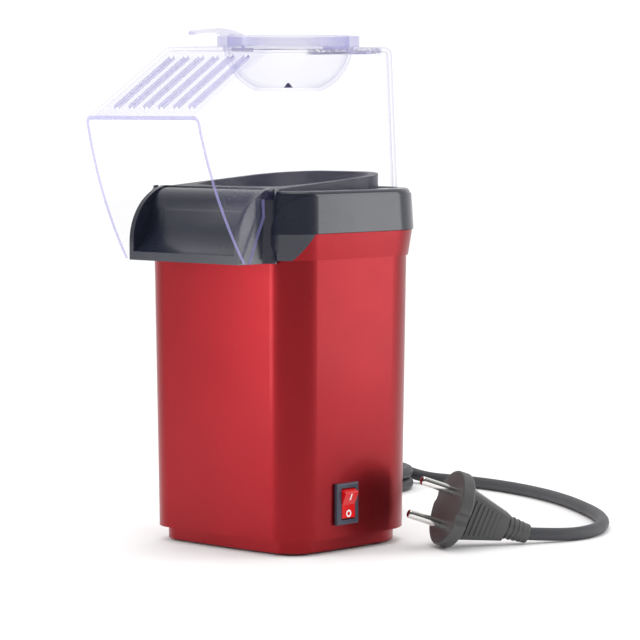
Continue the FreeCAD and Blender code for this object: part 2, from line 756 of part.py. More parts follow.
def make_base_cover():
    """The recessed red plinth: floor with air inlets, wall, ledge, bosses and the cord's saddle."""
    plinth = body_loft([body_section(base_bottom_z, base_inset),
                        body_section(ledge_top_z, base_inset)])
    inner = base_inset + base_wall
    ledge = body_loft([body_section(ledge_bottom_z, housing_wall + fit_gap),
                       body_section(ledge_top_z, housing_wall + fit_gap)])
    bore = body_loft([body_section(base_floor_top_z, inner), body_section(ledge_top_z + 1, inner)])
    cover = plinth.fuse(ledge).cut(bore)
    bosses = [cylinder(leg_radius + 1, base_bottom_z, base_boss_top_z, x, y)
              for x, y in leg_places]
    saddle_z = cord_entry_z - inner_cord_radius - rest_gap
    column_z = cord_entry_z + inner_cord_radius + screw_gap
    saddle = box(cord_entry_x - clamp_half_width, cord_entry_x + clamp_half_width, clamp_front_y,
                 clamp_back_y, base_bottom_z, column_z)
    channel = box(cord_entry_x - inner_cord_radius - fit_gap,
                  cord_entry_x + inner_cord_radius + fit_gap, clamp_front_y - 1, clamp_back_y + 1,
                  saddle_z, column_z + 1)
    cover = cover.fuse(bosses + [saddle.cut(channel)])
    cuts = []
    for x, y in leg_places:
        head_z = base_bottom_z + base_floor
        cuts.append(cylinder(screw_head_radius + fit_gap, base_bottom_z - 1, head_z, x, y))
        cuts.append(cylinder(screw_radius + screw_gap, base_bottom_z, base_boss_top_z + 1, x, y))
    for x, y in foot_places:
        cuts.append(cylinder(foot_stem_radius + screw_gap, base_bottom_z - 1,
                             base_floor_top_z + 1, x, y))
    for side in (-1, 1):
        cuts.append(cylinder(screw_radius + screw_gap, base_floor_top_z, column_z + 1,
                             cord_entry_x + side * clamp_screw_x,
                             (clamp_front_y + clamp_back_y) / 2))
    first = -(inlet_count - 1) * inlet_pitch / 2
    for index in range(inlet_count):
        y = first + index * inlet_pitch
        half_length = inlet_radius - 2 if abs(y) < leg_y - leg_radius - 4 else inlet_radius - 10
        cuts.append(box(-half_length, half_length, y - inlet_width / 2, y + inlet_width / 2,
                        base_bottom_z - 1, base_floor_top_z + 1))
    return cover.cut(cuts).removeSplitter()


def make_feet():
    """Four rubber feet, pressed into the floor of the base by their stems."""
    feet = []
    for x, y in foot_places:
        pad = cylinder(foot_radius, 0, base_bottom_z - rest_gap, x, y)
        stem = cylinder(foot_stem_radius, 0, base_floor_top_z + 1.5, x, y)
        feet.append(pad.fuse(stem).removeSplitter())
    return group(feet)


def make_base_screws():
    """Four screws up through the base into the legs of the fan housing."""
    under_head = base_bottom_z + base_floor
    return group([screw(x, y, under_head - rest_gap, base_boss_top_z + 12)
                  for x, y in leg_places])


# ---------------------------------------------------------------- fan housing, fan and motor
duct_outer = duct_radius + duct_wall
bracket_bottom_z = motor_top_z + rest_gap
bracket_top_z = duct_bottom_z - rest_gap


def make_fan_housing():
    """The duct round the fan, with its inlet, heater ledge and four legs down to the base."""
    duct = ring(duct_outer, duct_radius, duct_bottom_z, duct_top_z)
    floor = ring(duct_outer, inlet_radius, duct_bottom_z, duct_bottom_z + duct_wall)
    ledge = ring(duct_outer, duct_radius - duct_ledge_reach, duct_ledge_z - 2, duct_ledge_z)
    legs = [cylinder(leg_radius, base_boss_top_z + rest_gap, duct_bottom_z + duct_wall, x, y)
            for x, y in leg_places]
    body = fuse_all([duct, floor, ledge] + legs).cut(cylinder(duct_radius, duct_bottom_z
                                                              + duct_wall, duct_ledge_z - 2))
    holes = [cylinder(screw_radius + screw_gap, base_boss_top_z - 1, base_boss_top_z + 14, x, y)
             for x, y in leg_places]
    for angle in range(0, 360, 90):
        hole = cylinder(screw_radius + screw_gap, duct_bottom_z - 1, duct_bottom_z
                        + duct_wall + 1, bracket_reach - 3)
        holes.append(turned_about_z(hole, angle))
    lead_hole = rod(V(0, duct_radius - 5, heater_lead_z), V(0, duct_outer + 5, heater_lead_z),
                    heater_lead_hole)
    return body.cut(holes + [lead_hole]).removeSplitter()


def make_motor_bracket():
    """The steel cross that hangs the motor under the fan housing."""
    half = bracket_arm_width / 2
    arm = box(-bracket_reach, bracket_reach, -half, half, bracket_bottom_z, bracket_top_z)
    plate = fuse_all([cylinder(motor_radius + 1, bracket_bottom_z, bracket_top_z), arm,
                      turned_about_z(arm, 90)])
    holes = [cylinder(motor_boss_radius + screw_gap, bracket_bottom_z - 1, bracket_top_z + 1)]
    for angle in range(0, 360, 90):
        hole = cylinder(screw_radius + screw_gap, bracket_bottom_z - 1, bracket_top_z + 1,
                        bracket_reach - 3)
        holes.append(turned_about_z(hole, angle))
    for side in (-1, 1):
        holes.append(cylinder(screw_radius + screw_gap, bracket_bottom_z - 1, bracket_top_z + 1,
                              side * motor_screw_x))
    return plate.cut(holes)


def make_bracket_screws():
    """Four short screws that hold the bracket up against the fan housing."""
    one = screw(bracket_reach - 3, 0, bracket_bottom_z - rest_gap, duct_bottom_z + duct_wall)
    return group([turned_about_z(one, angle) for angle in range(0, 360, 90)])


def make_motor_screws():
    """Two screws down through the bracket into the motor's end."""
    return group([screw(side * motor_screw_x, 0, bracket_top_z + rest_gap, motor_top_z - 2)
                  for side in (-1, 1)])


def make_motor_can():
    """The motor's drawn steel can, with the boss of its upper bearing."""
    can = cylinder(motor_radius, motor_bottom_z + end_cap_height + rest_gap, motor_top_z)
    can = can.fuse(cylinder(motor_boss_radius, motor_top_z - 1, motor_top_z + 2.5))
    bore = cylinder(motor_radius - motor_wall, motor_bottom_z, motor_top_z - motor_wall - 1.5)
    can = can.cut(bore).cut(cylinder(shaft_radius + shaft_gap, motor_bottom_z, duct_bottom_z + 2))
    for side in (-1, 1):
        can = can.cut(cylinder(screw_radius + screw_gap, motor_top_z - 3, motor_top_z + 1,
                               side * motor_screw_x))
    return can.removeSplitter()


def make_motor_end_cap():
    """The motor's plastic lower end, with the seat of its lower bearing."""
    top_z = motor_bottom_z + end_cap_height
    plug_radius = motor_radius - motor_wall - screw_gap
    cap = cylinder(motor_radius, motor_bottom_z, top_z).fuse(cylinder(plug_radius, top_z,
                                                                      top_z + 1.5))
    return cap.cut(cylinder(shaft_radius + shaft_gap, shaft_bottom_z - screw_gap, top_z + 2))


def make_motor_magnets():
    """Two curved magnets against the inside of the can."""
    outer = motor_radius - motor_wall - screw_gap
    shell = ring(outer, outer - magnet_thickness, motor_bottom_z + 8, motor_top_z - 5)
    gap = box(-motor_radius, motor_radius, -2.5, 2.5, motor_bottom_z, motor_top_z)
    return shell.cut(gap)


def make_motor_rotor():
    """The wound rotor, pressed on the shaft, with its commutator."""
    core = cylinder(rotor_radius, motor_bottom_z + 12, motor_top_z - 8)
    commutator = cylinder(3.2, motor_bottom_z + 7, motor_bottom_z + 12)
    slots = []
    for index in range(5):
        slot = box(4.2, rotor_radius + 1, -1.0, 1.0, motor_bottom_z + 11, motor_top_z - 7)
        slots.append(turned_about_z(slot, index * 72))
    bore = cylinder(shaft_radius + rest_gap, motor_bottom_z, motor_top_z)
    return core.fuse(commutator).cut(slots).cut(bore).removeSplitter()


def make_motor_shaft():
    """The steel shaft that carries the rotor and the fan."""
    return cylinder(shaft_radius, shaft_bottom_z, shaft_top_z)


def make_fan():
    """The fan: a disc on a hub, with curved blades under it."""
    top_z = fan_bottom_z + fan_height
    disc = cylinder(fan_radius, top_z - blade_thickness, top_z)
    hub = cylinder(fan_hub_radius, fan_bottom_z - 1, top_z)
    curve = 30.0
    blade = ring(curve, curve - blade_thickness, fan_bottom_z, top_z, 0, curve - 2)
    sector = box(0, fan_radius, -4, fan_radius, fan_bottom_z, top_z)
    tip_limit = cylinder(fan_radius, fan_bottom_z, top_z)
    blade = blade.common(sector).common(tip_limit)
    blades = [turned_about_z(blade, index * 360 / fan_blades) for index in range(fan_blades)]
    body = fuse_all([disc, hub] + blades)
    return body.cut(cylinder(shaft_radius + rest_gap, fan_bottom_z - 2, top_z + 1))


def make_rectifier_board():
    """The small board under the motor that feeds it direct current."""
    top_z = motor_bottom_z - diode_radius * 2 - 1.0
    board = box(-board_half, board_half, -board_half, board_half, top_z - board_thickness, top_z)
    posts = [cylinder(0.9, top_z - 0.5, motor_bottom_z - rest_gap, side * 9.5, -9.0)
             for side in (-1, 1)]
    return fuse_all([board] + posts)


def make_diodes():
    """Four rectifier diodes on the board."""
    z = motor_bottom_z - diode_radius - 1.0 + rest_gap
    return group([rod(V(-3, y, z), V(3, y, z), diode_radius) for y in (-6, -2, 2, 6)])


# ---------------------------------------------------------------- heater and popping chamber
def make_heat_shield():
    """The thin steel sleeve round the chamber, from the fan housing up to the flange."""
    inner = duct_outer + fit_gap
    outer = inner + shield_wall
    shield = ring(outer, inner, duct_top_z - 6, chamber_flange_bottom_z - rest_gap)
    foot = ring(outer, duct_outer - 1, duct_top_z + rest_gap, duct_top_z + shield_wall)
    return shield.fuse(foot).removeSplitter()


def make_mica_sleeve():
    """The mica lining of the duct round the heater."""
    outer = duct_radius - fit_gap
    low = duct_ledge_z + rest_gap
    sleeve = ring(outer, outer - mica_sleeve_wall, low, low + heater_height)
    return sleeve.cut(rod(V(0, outer - 5, heater_lead_z), V(0, outer + 5, heater_lead_z),
                          heater_lead_hole))


def make_heater_frame():
    """Two crossed mica boards that carry the heater's coils."""
    low = duct_ledge_z + rest_gap
    half_span = duct_radius - fit_gap - mica_sleeve_wall - fit_gap
    half = mica_thickness / 2
    board = box(-half_span, half_span, -half, half, low, low + heater_height)
    cross = turned_about_z(board.fuse(turned_about_z(board, 90)), 45)
    holes = []
    for radius in coil_radii:
        for level in coil_levels:
            holes.append(Part.makeTorus(radius, coil_wire_radius + fit_gap, V(0, 0, low + level)))
    return cross.cut(holes).removeSplitter()


def make_heater_coil():
    """The resistance coils, threaded through the mica boards."""
    low = duct_ledge_z + rest_gap
    return group([Part.makeTorus(radius, coil_wire_radius, V(0, 0, low + level))
                  for radius in coil_radii for level in coil_levels])


def make_popping_chamber():
    """The aluminium pot with slanted air louvres round its foot and a flange at its top."""
    outer = chamber_radius + chamber_wall
    pot = cylinder(outer, chamber_floor_z, chamber_flange_top_z)
    flange = cylinder(chamber_flange_radius, chamber_flange_bottom_z, chamber_flange_top_z)
    bore = cylinder(chamber_radius, chamber_floor_z + chamber_wall, chamber_flange_top_z + 1)
    pot = pot.fuse(flange).cut(bore)
    middle_z = chamber_floor_z + 4 + louvre_height / 2
    cuts = []
    for index in range(louvre_count):
        slot = Part.makeBox(6, louvre_width, louvre_height,
                            V(chamber_radius - 2, -louvre_width / 2, middle_z - louvre_height / 2))
        slot.rotate(V(chamber_radius, 0, middle_z), X_AXIS, louvre_lean)
        cuts.append(turned_about_z(slot, index * 360 / louvre_count))
    for x, y in flange_screw_places:
        cuts.append(cylinder(screw_radius + screw_gap, chamber_flange_bottom_z - 1,
                             chamber_flange_top_z + 1, x, y))
    return pot.cut(cuts).removeSplitter()


def make_chamber_seal():
    """The silicone ring between the chamber's flange and the collar's deck."""
    seal = ring(chamber_flange_radius, chamber_radius + 1.5, chamber_flange_top_z + rest_gap,
                deck_bottom_z - rest_gap)
    for x, y in flange_screw_places:
        seal = seal.cut(cylinder(screw_radius + screw_gap, chamber_flange_top_z - 1,
                                 deck_bottom_z + 1, x, y))
    return seal


def make_flange_screws():
    """Four screws up through the flange and seal into the collar's deck."""
    return group([screw(x, y, chamber_flange_bottom_z - rest_gap, deck_bottom_z + 2.5, screw_radius,
                        flange_screw_head) for x, y in flange_screw_places])


def make_thermostat():
    """The disc thermostat on the back of the heat shield."""
    seat_y = duct_outer + fit_gap + shield_wall + rest_gap
    plate = box(-9, 9, seat_y, seat_y + 1, thermostat_z - 6, thermostat_z + 6)
    disc = rod(V(0, seat_y, thermostat_z), V(0, seat_y + 5.5, thermostat_z), 5.5)
    tabs = [box(side * 3 - 1, side * 3 + 1, seat_y + 5, seat_y + 5.5, thermostat_z - 9,
                thermostat_z) for side in (-1, 1)]
    return fuse_all([plate, disc] + tabs)


def make_thermal_fuse():
    """The one-shot fuse, strapped to the side of the heat shield."""
    seat_x = -(duct_outer + fit_gap + shield_wall + rest_gap)
    body = rod(V(seat_x - 2.2, 0, thermostat_z - 7), V(seat_x - 2.2, 0, thermostat_z + 7), 2.0)
    strap = box(seat_x - 3, seat_x, -5, 5, thermostat_z - 3, thermostat_z + 3)
    return strap.fuse(body).removeSplitter()


# ---------------------------------------------------------------- rocker switch
bezel_back_x = bezel_face_x + bezel_seat_gap
bezel_front_x = bezel_back_x + bezel_proud
pivot_x = bezel_front_x - rocker_pivot_depth
blade_pivot_x = pivot_x - blade_pivot_depth
switch_back_x = bezel_back_x - switch_body_depth
terminal_offset_z = 5.0
terminal_half_width = 2.4
terminal_thickness = 0.8
blade_half_width = 2.0
plunger_radius = 1.2


def switch_block(x0, x1, half_y, half_z):
    """A block centred on the switch's axis."""
    return box(x0, x1, switch_y - half_y, switch_y + half_y, switch_z - half_z, switch_z + half_z)


def make_switch_body():
    """The switch's black bezel and case, in one moulding, open at the front for the rocker."""
    bezel = switch_block(bezel_back_x, bezel_front_x, bezel_width / 2, bezel_height / 2)
    front_edges = [edge for edge in bezel.Edges if edge.BoundBox.XMin > bezel_front_x - 0.01]
    bezel = bezel.makeFillet(0.8, front_edges)
    case = switch_block(switch_back_x, bezel_back_x + 0.5, switch_body_width / 2,
                        switch_body_height / 2)
    cavity = switch_block(switch_back_x + switch_wall, bezel_front_x + 1,
                          rocker_width / 2 + rocker_gap, rocker_end_radius + rocker_gap)
    pin = rod(V(pivot_x, switch_y - bezel_width, switch_z),
              V(pivot_x, switch_y + bezel_width, switch_z), rocker_pin_radius + shaft_gap)
    pin = pin.common(switch_block(switch_back_x, bezel_front_x, switch_body_width / 2 - 0.4, 3))
    slots = [box(switch_back_x - 1, switch_back_x + switch_wall + 1,
                 switch_y - terminal_half_width - rest_gap,
                 switch_y + terminal_half_width + rest_gap,
                 switch_z - offset - terminal_thickness / 2 - rest_gap,
                 switch_z - offset + terminal_thickness / 2 + rest_gap)
             for offset in (0, terminal_offset_z)]
    return bezel.fuse(case).cut([cavity, pin] + slots).removeSplitter()


def rocker_outline():
    """The rocker's section while level: a shallow V face, round ends and a narrow heel."""
    horn_z = math.sqrt(rocker_end_radius ** 2 - rocker_horn ** 2)
    heel_x = -2.4
    heel_z = 3.0
    bulge = V(rocker_end_radius * math.cos(math.radians(85)), 0,
              rocker_end_radius * math.sin(math.radians(85)))
    waist_z = rocker_end_radius * 0.985
    waist_x = -math.sqrt(rocker_end_radius ** 2 - waist_z ** 2)
    horn = V(rocker_horn, 0, horn_z)
    low_horn = V(rocker_horn, 0, -horn_z)
    shoulder = V(waist_x, 0, waist_z)
    low_shoulder = V(waist_x, 0, -waist_z)
    low_bulge = V(bulge.x, 0, -bulge.z)
    face = [V(rocker_horn, 0, -horn_z), V(rocker_waist, 0, 0), horn]
    edges = [Part.makeLine(face[0], face[1]), Part.makeLine(face[1], face[2]),
             Part.Arc(horn, bulge, shoulder).toShape(),
             Part.makeLine(shoulder, V(heel_x, 0, heel_z)),
             Part.makeLine(V(heel_x, 0, heel_z), V(heel_x, 0, -heel_z)),
             Part.makeLine(V(heel_x, 0, -heel_z), low_shoulder),
             Part.Arc(low_shoulder, low_bulge, low_horn).toShape()]
    return Part.Face(Part.Wire(edges))


def placed_on_pivot(shape, x, tilt):
    """Turns a shape about Y and moves it to a pivot on the switch's axis."""
    shape.rotate(V(0, 0, 0), Y_AXIS, tilt)
    shape.translate(V(x, switch_y, switch_z))
    return shape


def make_rocker():
    """The red rocker on its two stub pins, at rest with the O end pressed in."""
    outline = rocker_outline()
    outline.translate(V(0, -rocker_width / 2, 0))
    body = outline.extrude(V(0, rocker_width, 0))
    pin_half = switch_body_width / 2 - 0.5
    pin = rod(V(0, -pin_half, 0), V(0, pin_half, 0), rocker_pin_radius)
    socket = rod(V(-3, 0, 0), V(-0.9, 0, 0), plunger_radius + rest_gap)
    return placed_on_pivot(body.fuse(pin).cut(socket).removeSplitter(), pivot_x,
                           rocker_rest_tilt)


def make_rocker_plunger():
    """The sprung plunger in the rocker's heel that tips the contact blade."""
    tip_x = -(blade_pivot_depth - contact_blade_thickness - 1.6)
    plunger = rod(V(tip_x, 0, 0), V(-0.95, 0, 0), plunger_radius)
    return placed_on_pivot(plunger, pivot_x, rocker_rest_tilt)


def make_contact_blade():
    """The see-saw blade that closes the circuit when the rocker tips it."""
    half = contact_blade_thickness / 2
    blade = Part.makeBox(contact_blade_thickness, 2 * blade_half_width, 2 * blade_half_length,
                         V(-half, -blade_half_width, -blade_half_length))
    stud_z = contact_stud_inset - blade_half_length
    stud = rod(V(-half - contact_stud_height, 0, stud_z), V(half, 0, stud_z),
               contact_stud_radius)
    bead = rod(V(0, -blade_half_width, 0), V(0, blade_half_width, 0), blade_bead_radius)
    return placed_on_pivot(fuse_all([blade, stud, bead]), blade_pivot_x, blade_rest_tilt)


def make_switch_terminals():
    """The two tin-plated terminals: the blade's stand and the fixed contact."""
    terminals = []
    stand_x = blade_pivot_x - blade_bead_radius - rest_gap
    contact_x = blade_pivot_x - 1.9
    for offset, inner_x in ((0, stand_x), (terminal_offset_z, contact_x)):
        z = switch_z - offset
        half = terminal_thickness / 2
        terminals.append(box(switch_back_x - terminal_length, inner_x,
                             switch_y - terminal_half_width, switch_y + terminal_half_width,
                             z - half, z + half))
    return group(terminals)


# ---------------------------------------------------------------- cord, plug and wires
relief_tip = V(cord_entry_x, back_y + relief_length, cord_entry_z)
coil_centre = V(-118.0, 176.5, 0)
coil_turn_radius = 39.0       # of the outermost turn's middle line
coil_height = 14.6
coil_outer = coil_turn_radius + cord_radius + 0.3
coil_inner = 28.0
coil_lead = 18.0              # straight lead in and out of the coil
coil_floor_z = 0.05
cord_floor_z = cord_radius + 0.1
coil_exit_angle = 110.0
plug_pin_radius = 2.4
plug_pin_length = 19.0
plug_pin_half_pitch = 9.5
plug_face_radius = 20.5
plug_face_thickness = 7.0
plug_length = 34.0            # from the face to the start of the strain relief
plug_relief_length = 14.0
plug_neck_radius = 7.5
plug_tail_radius = 5.2
plug_face_point = V(84.0, 35.2, 21.5)
plug_roll = 80.0              # about its own axis, so that the pins stand one over the other
plug_heading = 240.0          # degrees about Z, the way the pins point
plug_pitch = 19.5             # degrees, pins up, so that the tail rests on the floor

cord_to_coil = [V(-17, 104, 14.4), V(-27, 123, 9.4), V(-45, 136, 5.0), V(-66, 140, 3.6),
                V(-86, 139, 3.6)]
cord_to_plug = [V(-96, 225.5, 3.6), V(-70, 230.5, 3.6), V(-40, 229, 3.6),
                V(-10, 222, 3.6), V(22, 209, 3.6), V(52, 191, 3.6), V(82, 169, 3.6),
                V(106, 144, 3.6), V(119, 117, 3.6), V(117.6, 93.5, 3.6)]


def cord_tube(points, radius):
    """A round tube along straight runs joined by tangent arcs, and the arcs' radii."""
    edges = []
    radii = []
    start = points[0]
    for before, corner, after in zip(points, points[1:], points[2:]):
        into = corner.sub(before)
        out = after.sub(corner)
        turn = into.getAngle(out)
        bend = 0.45 * min(into.Length, out.Length) / math.tan(turn / 2)
        radii.append(bend)
        reach = bend * math.tan(turn / 2)
        into.normalize()
        out.normalize()
        arc_start = corner.sub(V(into).multiply(reach))
        arc_end = corner.add(V(out).multiply(reach))
        inward = V(out).sub(into).normalize()
        depth = bend / math.cos(turn / 2) - bend
        middle = corner.add(V(inward).multiply(depth))
        edges.append(Part.LineSegment(start, arc_start).toShape())
        edges.append(Part.Arc(arc_start, middle, arc_end).toShape())
        start = arc_end
    edges.append(Part.LineSegment(start, points[-1]).toShape())
    path = Part.Wire(edges)
    section = Part.Wire(Part.makeCircle(radius, points[0], points[1].sub(points[0])))
    tube = path.makePipeShell([section], True, False)
    ideal = math.pi * radius ** 2 * path.Length
    print(f"tube: length {path.Length:.0f}, radii {[round(r) for r in radii]}, "
          f"volume share {tube.Volume / ideal:.4f}")
    return tube


def coil_entry():
    """Where the cord meets the coil's lead in."""
    return coil_centre.add(V(coil_lead, -coil_turn_radius, cord_floor_z))


def coil_exit():
    """Where the cord leaves the coil's lead out, and the way it runs there."""
    angle = math.radians(coil_exit_angle)
    heading = V(math.sin(angle), -math.cos(angle), 0)
    place = coil_centre.add(V(coil_turn_radius * math.cos(angle),
                              coil_turn_radius * math.sin(angle), cord_floor_z))
    return place.add(V(heading).multiply(coil_lead)), heading


def make_cord_coil():
    """The outer shape of the coiled stretch, with its leads in and out."""
    top_z = coil_floor_z + coil_height
    x, y = coil_centre.x, coil_centre.y
    body = ring(coil_outer, coil_inner, coil_floor_z, top_z, x, y)
    body = body.makeFillet(3.0, [edge for edge in body.Edges if edge.BoundBox.ZLength < 0.1])
    entry = coil_entry()
    lead_in = rod(entry, entry.sub(V(coil_lead, 0, 0)), cord_radius)
    leave, heading = coil_exit()
    lead_out = rod(leave, leave.sub(heading.multiply(coil_lead)), cord_radius)
    waist = tie_block(tie_thickness).cut(tie_block(-tie_sink - rest_gap))
    return fuse_all([body.cut(waist), lead_in, lead_out])


tie_width = 9.0
tie_thickness = 1.2
tie_sink = 0.6                # how far it draws the turns in


def tie_block(grow):
    """The space inside the tie, on the -X side of the coil, less or more a margin."""
    return box(coil_centre.x - coil_outer - grow, coil_centre.x - coil_inner + grow,
               coil_centre.y - tie_width / 2, coil_centre.y + tie_width / 2,
               coil_floor_z + tie_sink - grow, coil_floor_z + coil_height - tie_sink + grow)


def make_cord_tie():
    """The band that ties the coil's turns together."""
    return tie_block(tie_sink - rest_gap).cut(tie_block(-tie_sink))


def make_mains_cord():
    """The free cord: from the strain relief to the coil, and from the coil to the plug."""
    first = cord_tube([relief_tip] + cord_to_coil + [coil_entry()], cord_radius)
    leave, heading = coil_exit()
    second = cord_tube([leave] + cord_to_plug + [plug_tail_point()], cord_radius)
    return group([first, second])


def plug_axis():
    """The way the plug's pins point."""
    heading = math.radians(plug_heading)
    pitch = math.radians(plug_pitch)
    return V(math.cos(pitch) * math.cos(heading), math.cos(pitch) * math.sin(heading),
             math.sin(pitch))


def plug_tail_point():
    """Where the cord goes into the plug's strain relief."""
    return plug_face_point.sub(plug_axis().multiply(plug_length + plug_relief_length))


def placed_as_plug(shape):
    """Moves a shape made along +X, with the plug's face at the origin, to where the plug lies."""
    shape.rotate(V(0, 0, 0), X_AXIS, plug_roll)
    shape.rotate(V(0, 0, 0), Y_AXIS, -plug_pitch)
    shape.rotate(V(0, 0, 0), Z_AXIS, plug_heading)
    shape.translate(plug_face_point)
    return shape


def make_plug_body():
    """The moulded plug: a notched round face, a tapered grip and a ribbed strain relief."""
    face = rod(V(-plug_face_thickness, 0, 0), V(0, 0, 0), plug_face_radius)
    face = face.makeFillet(1.2, [face.Edges[0], face.Edges[2]])
    for side in (-1, 1):
        notch = rod(V(-plug_face_thickness - 1, 0, side * (plug_face_radius + 1.5)),
                    V(1, 0, side * (plug_face_radius + 1.5)), 4.0)
        face = face.cut(notch)
    root = Part.Wire(Part.makePolygon([V(-plug_face_thickness + 1, y, z) for y, z in
                                       ((-15, -8), (15, -8), (15, 8), (-15, 8), (-15, -8))]))
    neck_half = plug_neck_radius
    end = Part.Wire(Part.makePolygon([V(-plug_length, y * neck_half, z * neck_half * 0.8)
                                      for y, z in ((-1, -1), (1, -1), (1, 1), (-1, 1), (-1, -1))]))
    grip = Part.makeLoft([root, end], True, True)
    grip = grip.makeFillet(3.0, [edge for edge in grip.Edges if edge.BoundBox.XLength > 10])
    relief = Part.makeCone(plug_tail_radius, plug_neck_radius - 1.4, plug_relief_length + 1,
                           V(-plug_length - plug_relief_length, 0, 0), X_AXIS)
    return placed_as_plug(fuse_all([face, grip, relief]))


def make_plug_pins():
    """The two round pins, with domed tips."""
    pins = []
    for side in (-1, 1):
        start = V(0.02, side * plug_pin_half_pitch, 0)
        end = V(plug_pin_length, side * plug_pin_half_pitch, 0)
        pin = rod(start, end, plug_pin_radius)
        tips = [edge for edge in pin.Edges if edge.BoundBox.XMin > plug_pin_length - 0.1]
        pins.append(placed_as_plug(pin.makeFillet(1.6, tips)))
    return group(pins)


def make_strain_relief():
    """The tapered rubber sleeve that the cord leaves the housing through."""
    hole_y = back_y - body_narrowing
    flange_y = hole_y - housing_wall - relief_flange_thickness - 1.2
    centre = V(cord_entry_x, 0, cord_entry_z)
    flange = rod(centre.add(V(0, flange_y, 0)),
                 centre.add(V(0, flange_y + relief_flange_thickness, 0)), relief_flange_radius)
    neck = rod(centre.add(V(0, flange_y, 0)), centre.add(V(0, back_y + 0.5, 0)),
               relief_neck_radius)
    sleeve = Part.makeCone(relief_root_radius, relief_tip_radius, relief_length - 0.2,
                           centre.add(V(0, back_y + 0.2, 0)), Y_AXIS)
    return fuse_all([flange, neck, sleeve])


def make_inner_cord():
    """The sheathed end of the cord, through the clamp, as far as where its wires part."""
    flange_y = back_y - body_narrowing - housing_wall - relief_flange_thickness - 1.2
    return rod(V(cord_entry_x, inner_cord_end_y, cord_entry_z),
               V(cord_entry_x, flange_y - rest_gap, cord_entry_z), inner_cord_radius)


def make_cord_clamp():
    """The bar that holds the cord down on its saddle."""
    low = cord_entry_z + inner_cord_radius + screw_gap + rest_gap
    bar = box(cord_entry_x - clamp_half_width, cord_entry_x + clamp_half_width,
              clamp_front_y + 1, clamp_back_y - 1, low, low + clamp_bar_height)
    for side in (-1, 1):
        bar = bar.cut(cylinder(screw_radius + screw_gap, low - 1, low + clamp_bar_height + 1,
                               cord_entry_x + side * clamp_screw_x,
                               (clamp_front_y + clamp_back_y) / 2))
    return bar


def make_clamp_screws():
    """Two screws down through the clamp into the saddle."""
    top = cord_entry_z + inner_cord_radius + screw_gap + rest_gap + clamp_bar_height
    return group([screw(cord_entry_x + side * clamp_screw_x, (clamp_front_y + clamp_back_y) / 2,
                        top + rest_gap, base_floor_top_z + 4) for side in (-1, 1)])


wire_radius = 1.1
wire_end_gap = 1.0            # off what the wire's square end points at
wire_live = [V(-14.6, 30, 17), V(-8, 24, 16), V(6, 20, 13), V(20, 12, 14), V(28, 0, 21)]
wire_neutral = [V(-17.4, 30, 17), V(-22, 22, 14), V(-24, 12, 12), V(-20, 3, 14)]


def make_wire_live():
    """The live wire, from the cord to the switch."""
    goal = V(switch_back_x - terminal_length - wire_end_gap, switch_y, switch_z)
    return cord_tube(wire_live + [goal], wire_radius)


def make_wire_neutral():
    """The neutral wire, from the cord to the rectifier board."""
    goal = V(-board_half - wire_end_gap, -3.0, motor_bottom_z - 2 * diode_radius - 1.6)
    return cord_tube(wire_neutral + [goal], wire_radius)


# ---------------------------------------------------------------- output
def main():
    """Builds every node and writes it to parts/."""
    makers = [make_housing, make_trim_band, make_top_collar, make_funnel_ring, make_hood,
              make_measuring_cup, make_base_cover, make_feet, make_base_screws,
              make_fan_housing, make_motor_bracket, make_bracket_screws, make_motor_screws,
              make_motor_can, make_motor_end_cap, make_motor_magnets, make_motor_rotor,
              make_motor_shaft, make_fan, make_rectifier_board, make_diodes, make_heat_shield,
              make_mica_sleeve, make_heater_frame, make_heater_coil, make_popping_chamber,
              make_chamber_seal, make_flange_screws, make_thermostat, make_thermal_fuse,
              make_switch_body, make_rocker, make_rocker_plunger, make_contact_blade,
              make_switch_terminals, make_strain_relief, make_inner_cord, make_cord_clamp,
              make_clamp_screws, make_wire_live, make_wire_neutral, make_mains_cord,
              make_cord_coil, make_cord_tie, make_plug_body, make_plug_pins]
    os.makedirs("parts", exist_ok=True)
    for maker in makers:
        node = maker.__name__.removeprefix("make_")
        maker().exportStep(f"parts/{node}.step")


main()
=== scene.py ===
"""Hot-air popcorn maker: finishes, cord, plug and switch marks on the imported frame."""
import math

import bmesh
import bpy
from mathutils import Matrix, Vector


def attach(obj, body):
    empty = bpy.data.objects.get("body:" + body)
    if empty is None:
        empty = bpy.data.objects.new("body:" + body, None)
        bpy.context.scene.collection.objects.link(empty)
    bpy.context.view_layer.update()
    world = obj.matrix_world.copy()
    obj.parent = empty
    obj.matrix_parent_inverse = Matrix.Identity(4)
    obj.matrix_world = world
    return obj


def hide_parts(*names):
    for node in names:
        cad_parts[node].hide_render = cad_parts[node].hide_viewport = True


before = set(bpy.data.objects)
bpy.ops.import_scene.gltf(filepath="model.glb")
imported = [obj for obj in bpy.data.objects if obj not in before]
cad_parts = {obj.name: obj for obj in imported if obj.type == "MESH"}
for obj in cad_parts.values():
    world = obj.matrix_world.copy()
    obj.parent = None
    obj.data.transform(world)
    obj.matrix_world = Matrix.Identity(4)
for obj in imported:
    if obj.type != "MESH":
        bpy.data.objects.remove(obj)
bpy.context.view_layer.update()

bl_info = {
    "name": "Popcorn Maker",
    "version": (1, 0, 0),
    "blender": (4, 5, 0),
    "location": "View3D > Sidebar > Popcorn Maker",
    "description": "Finishes and loose pieces of a hot-air popcorn maker",
    "category": "Object",
}

UP = Vector((0.0, 0.0, 1.0))


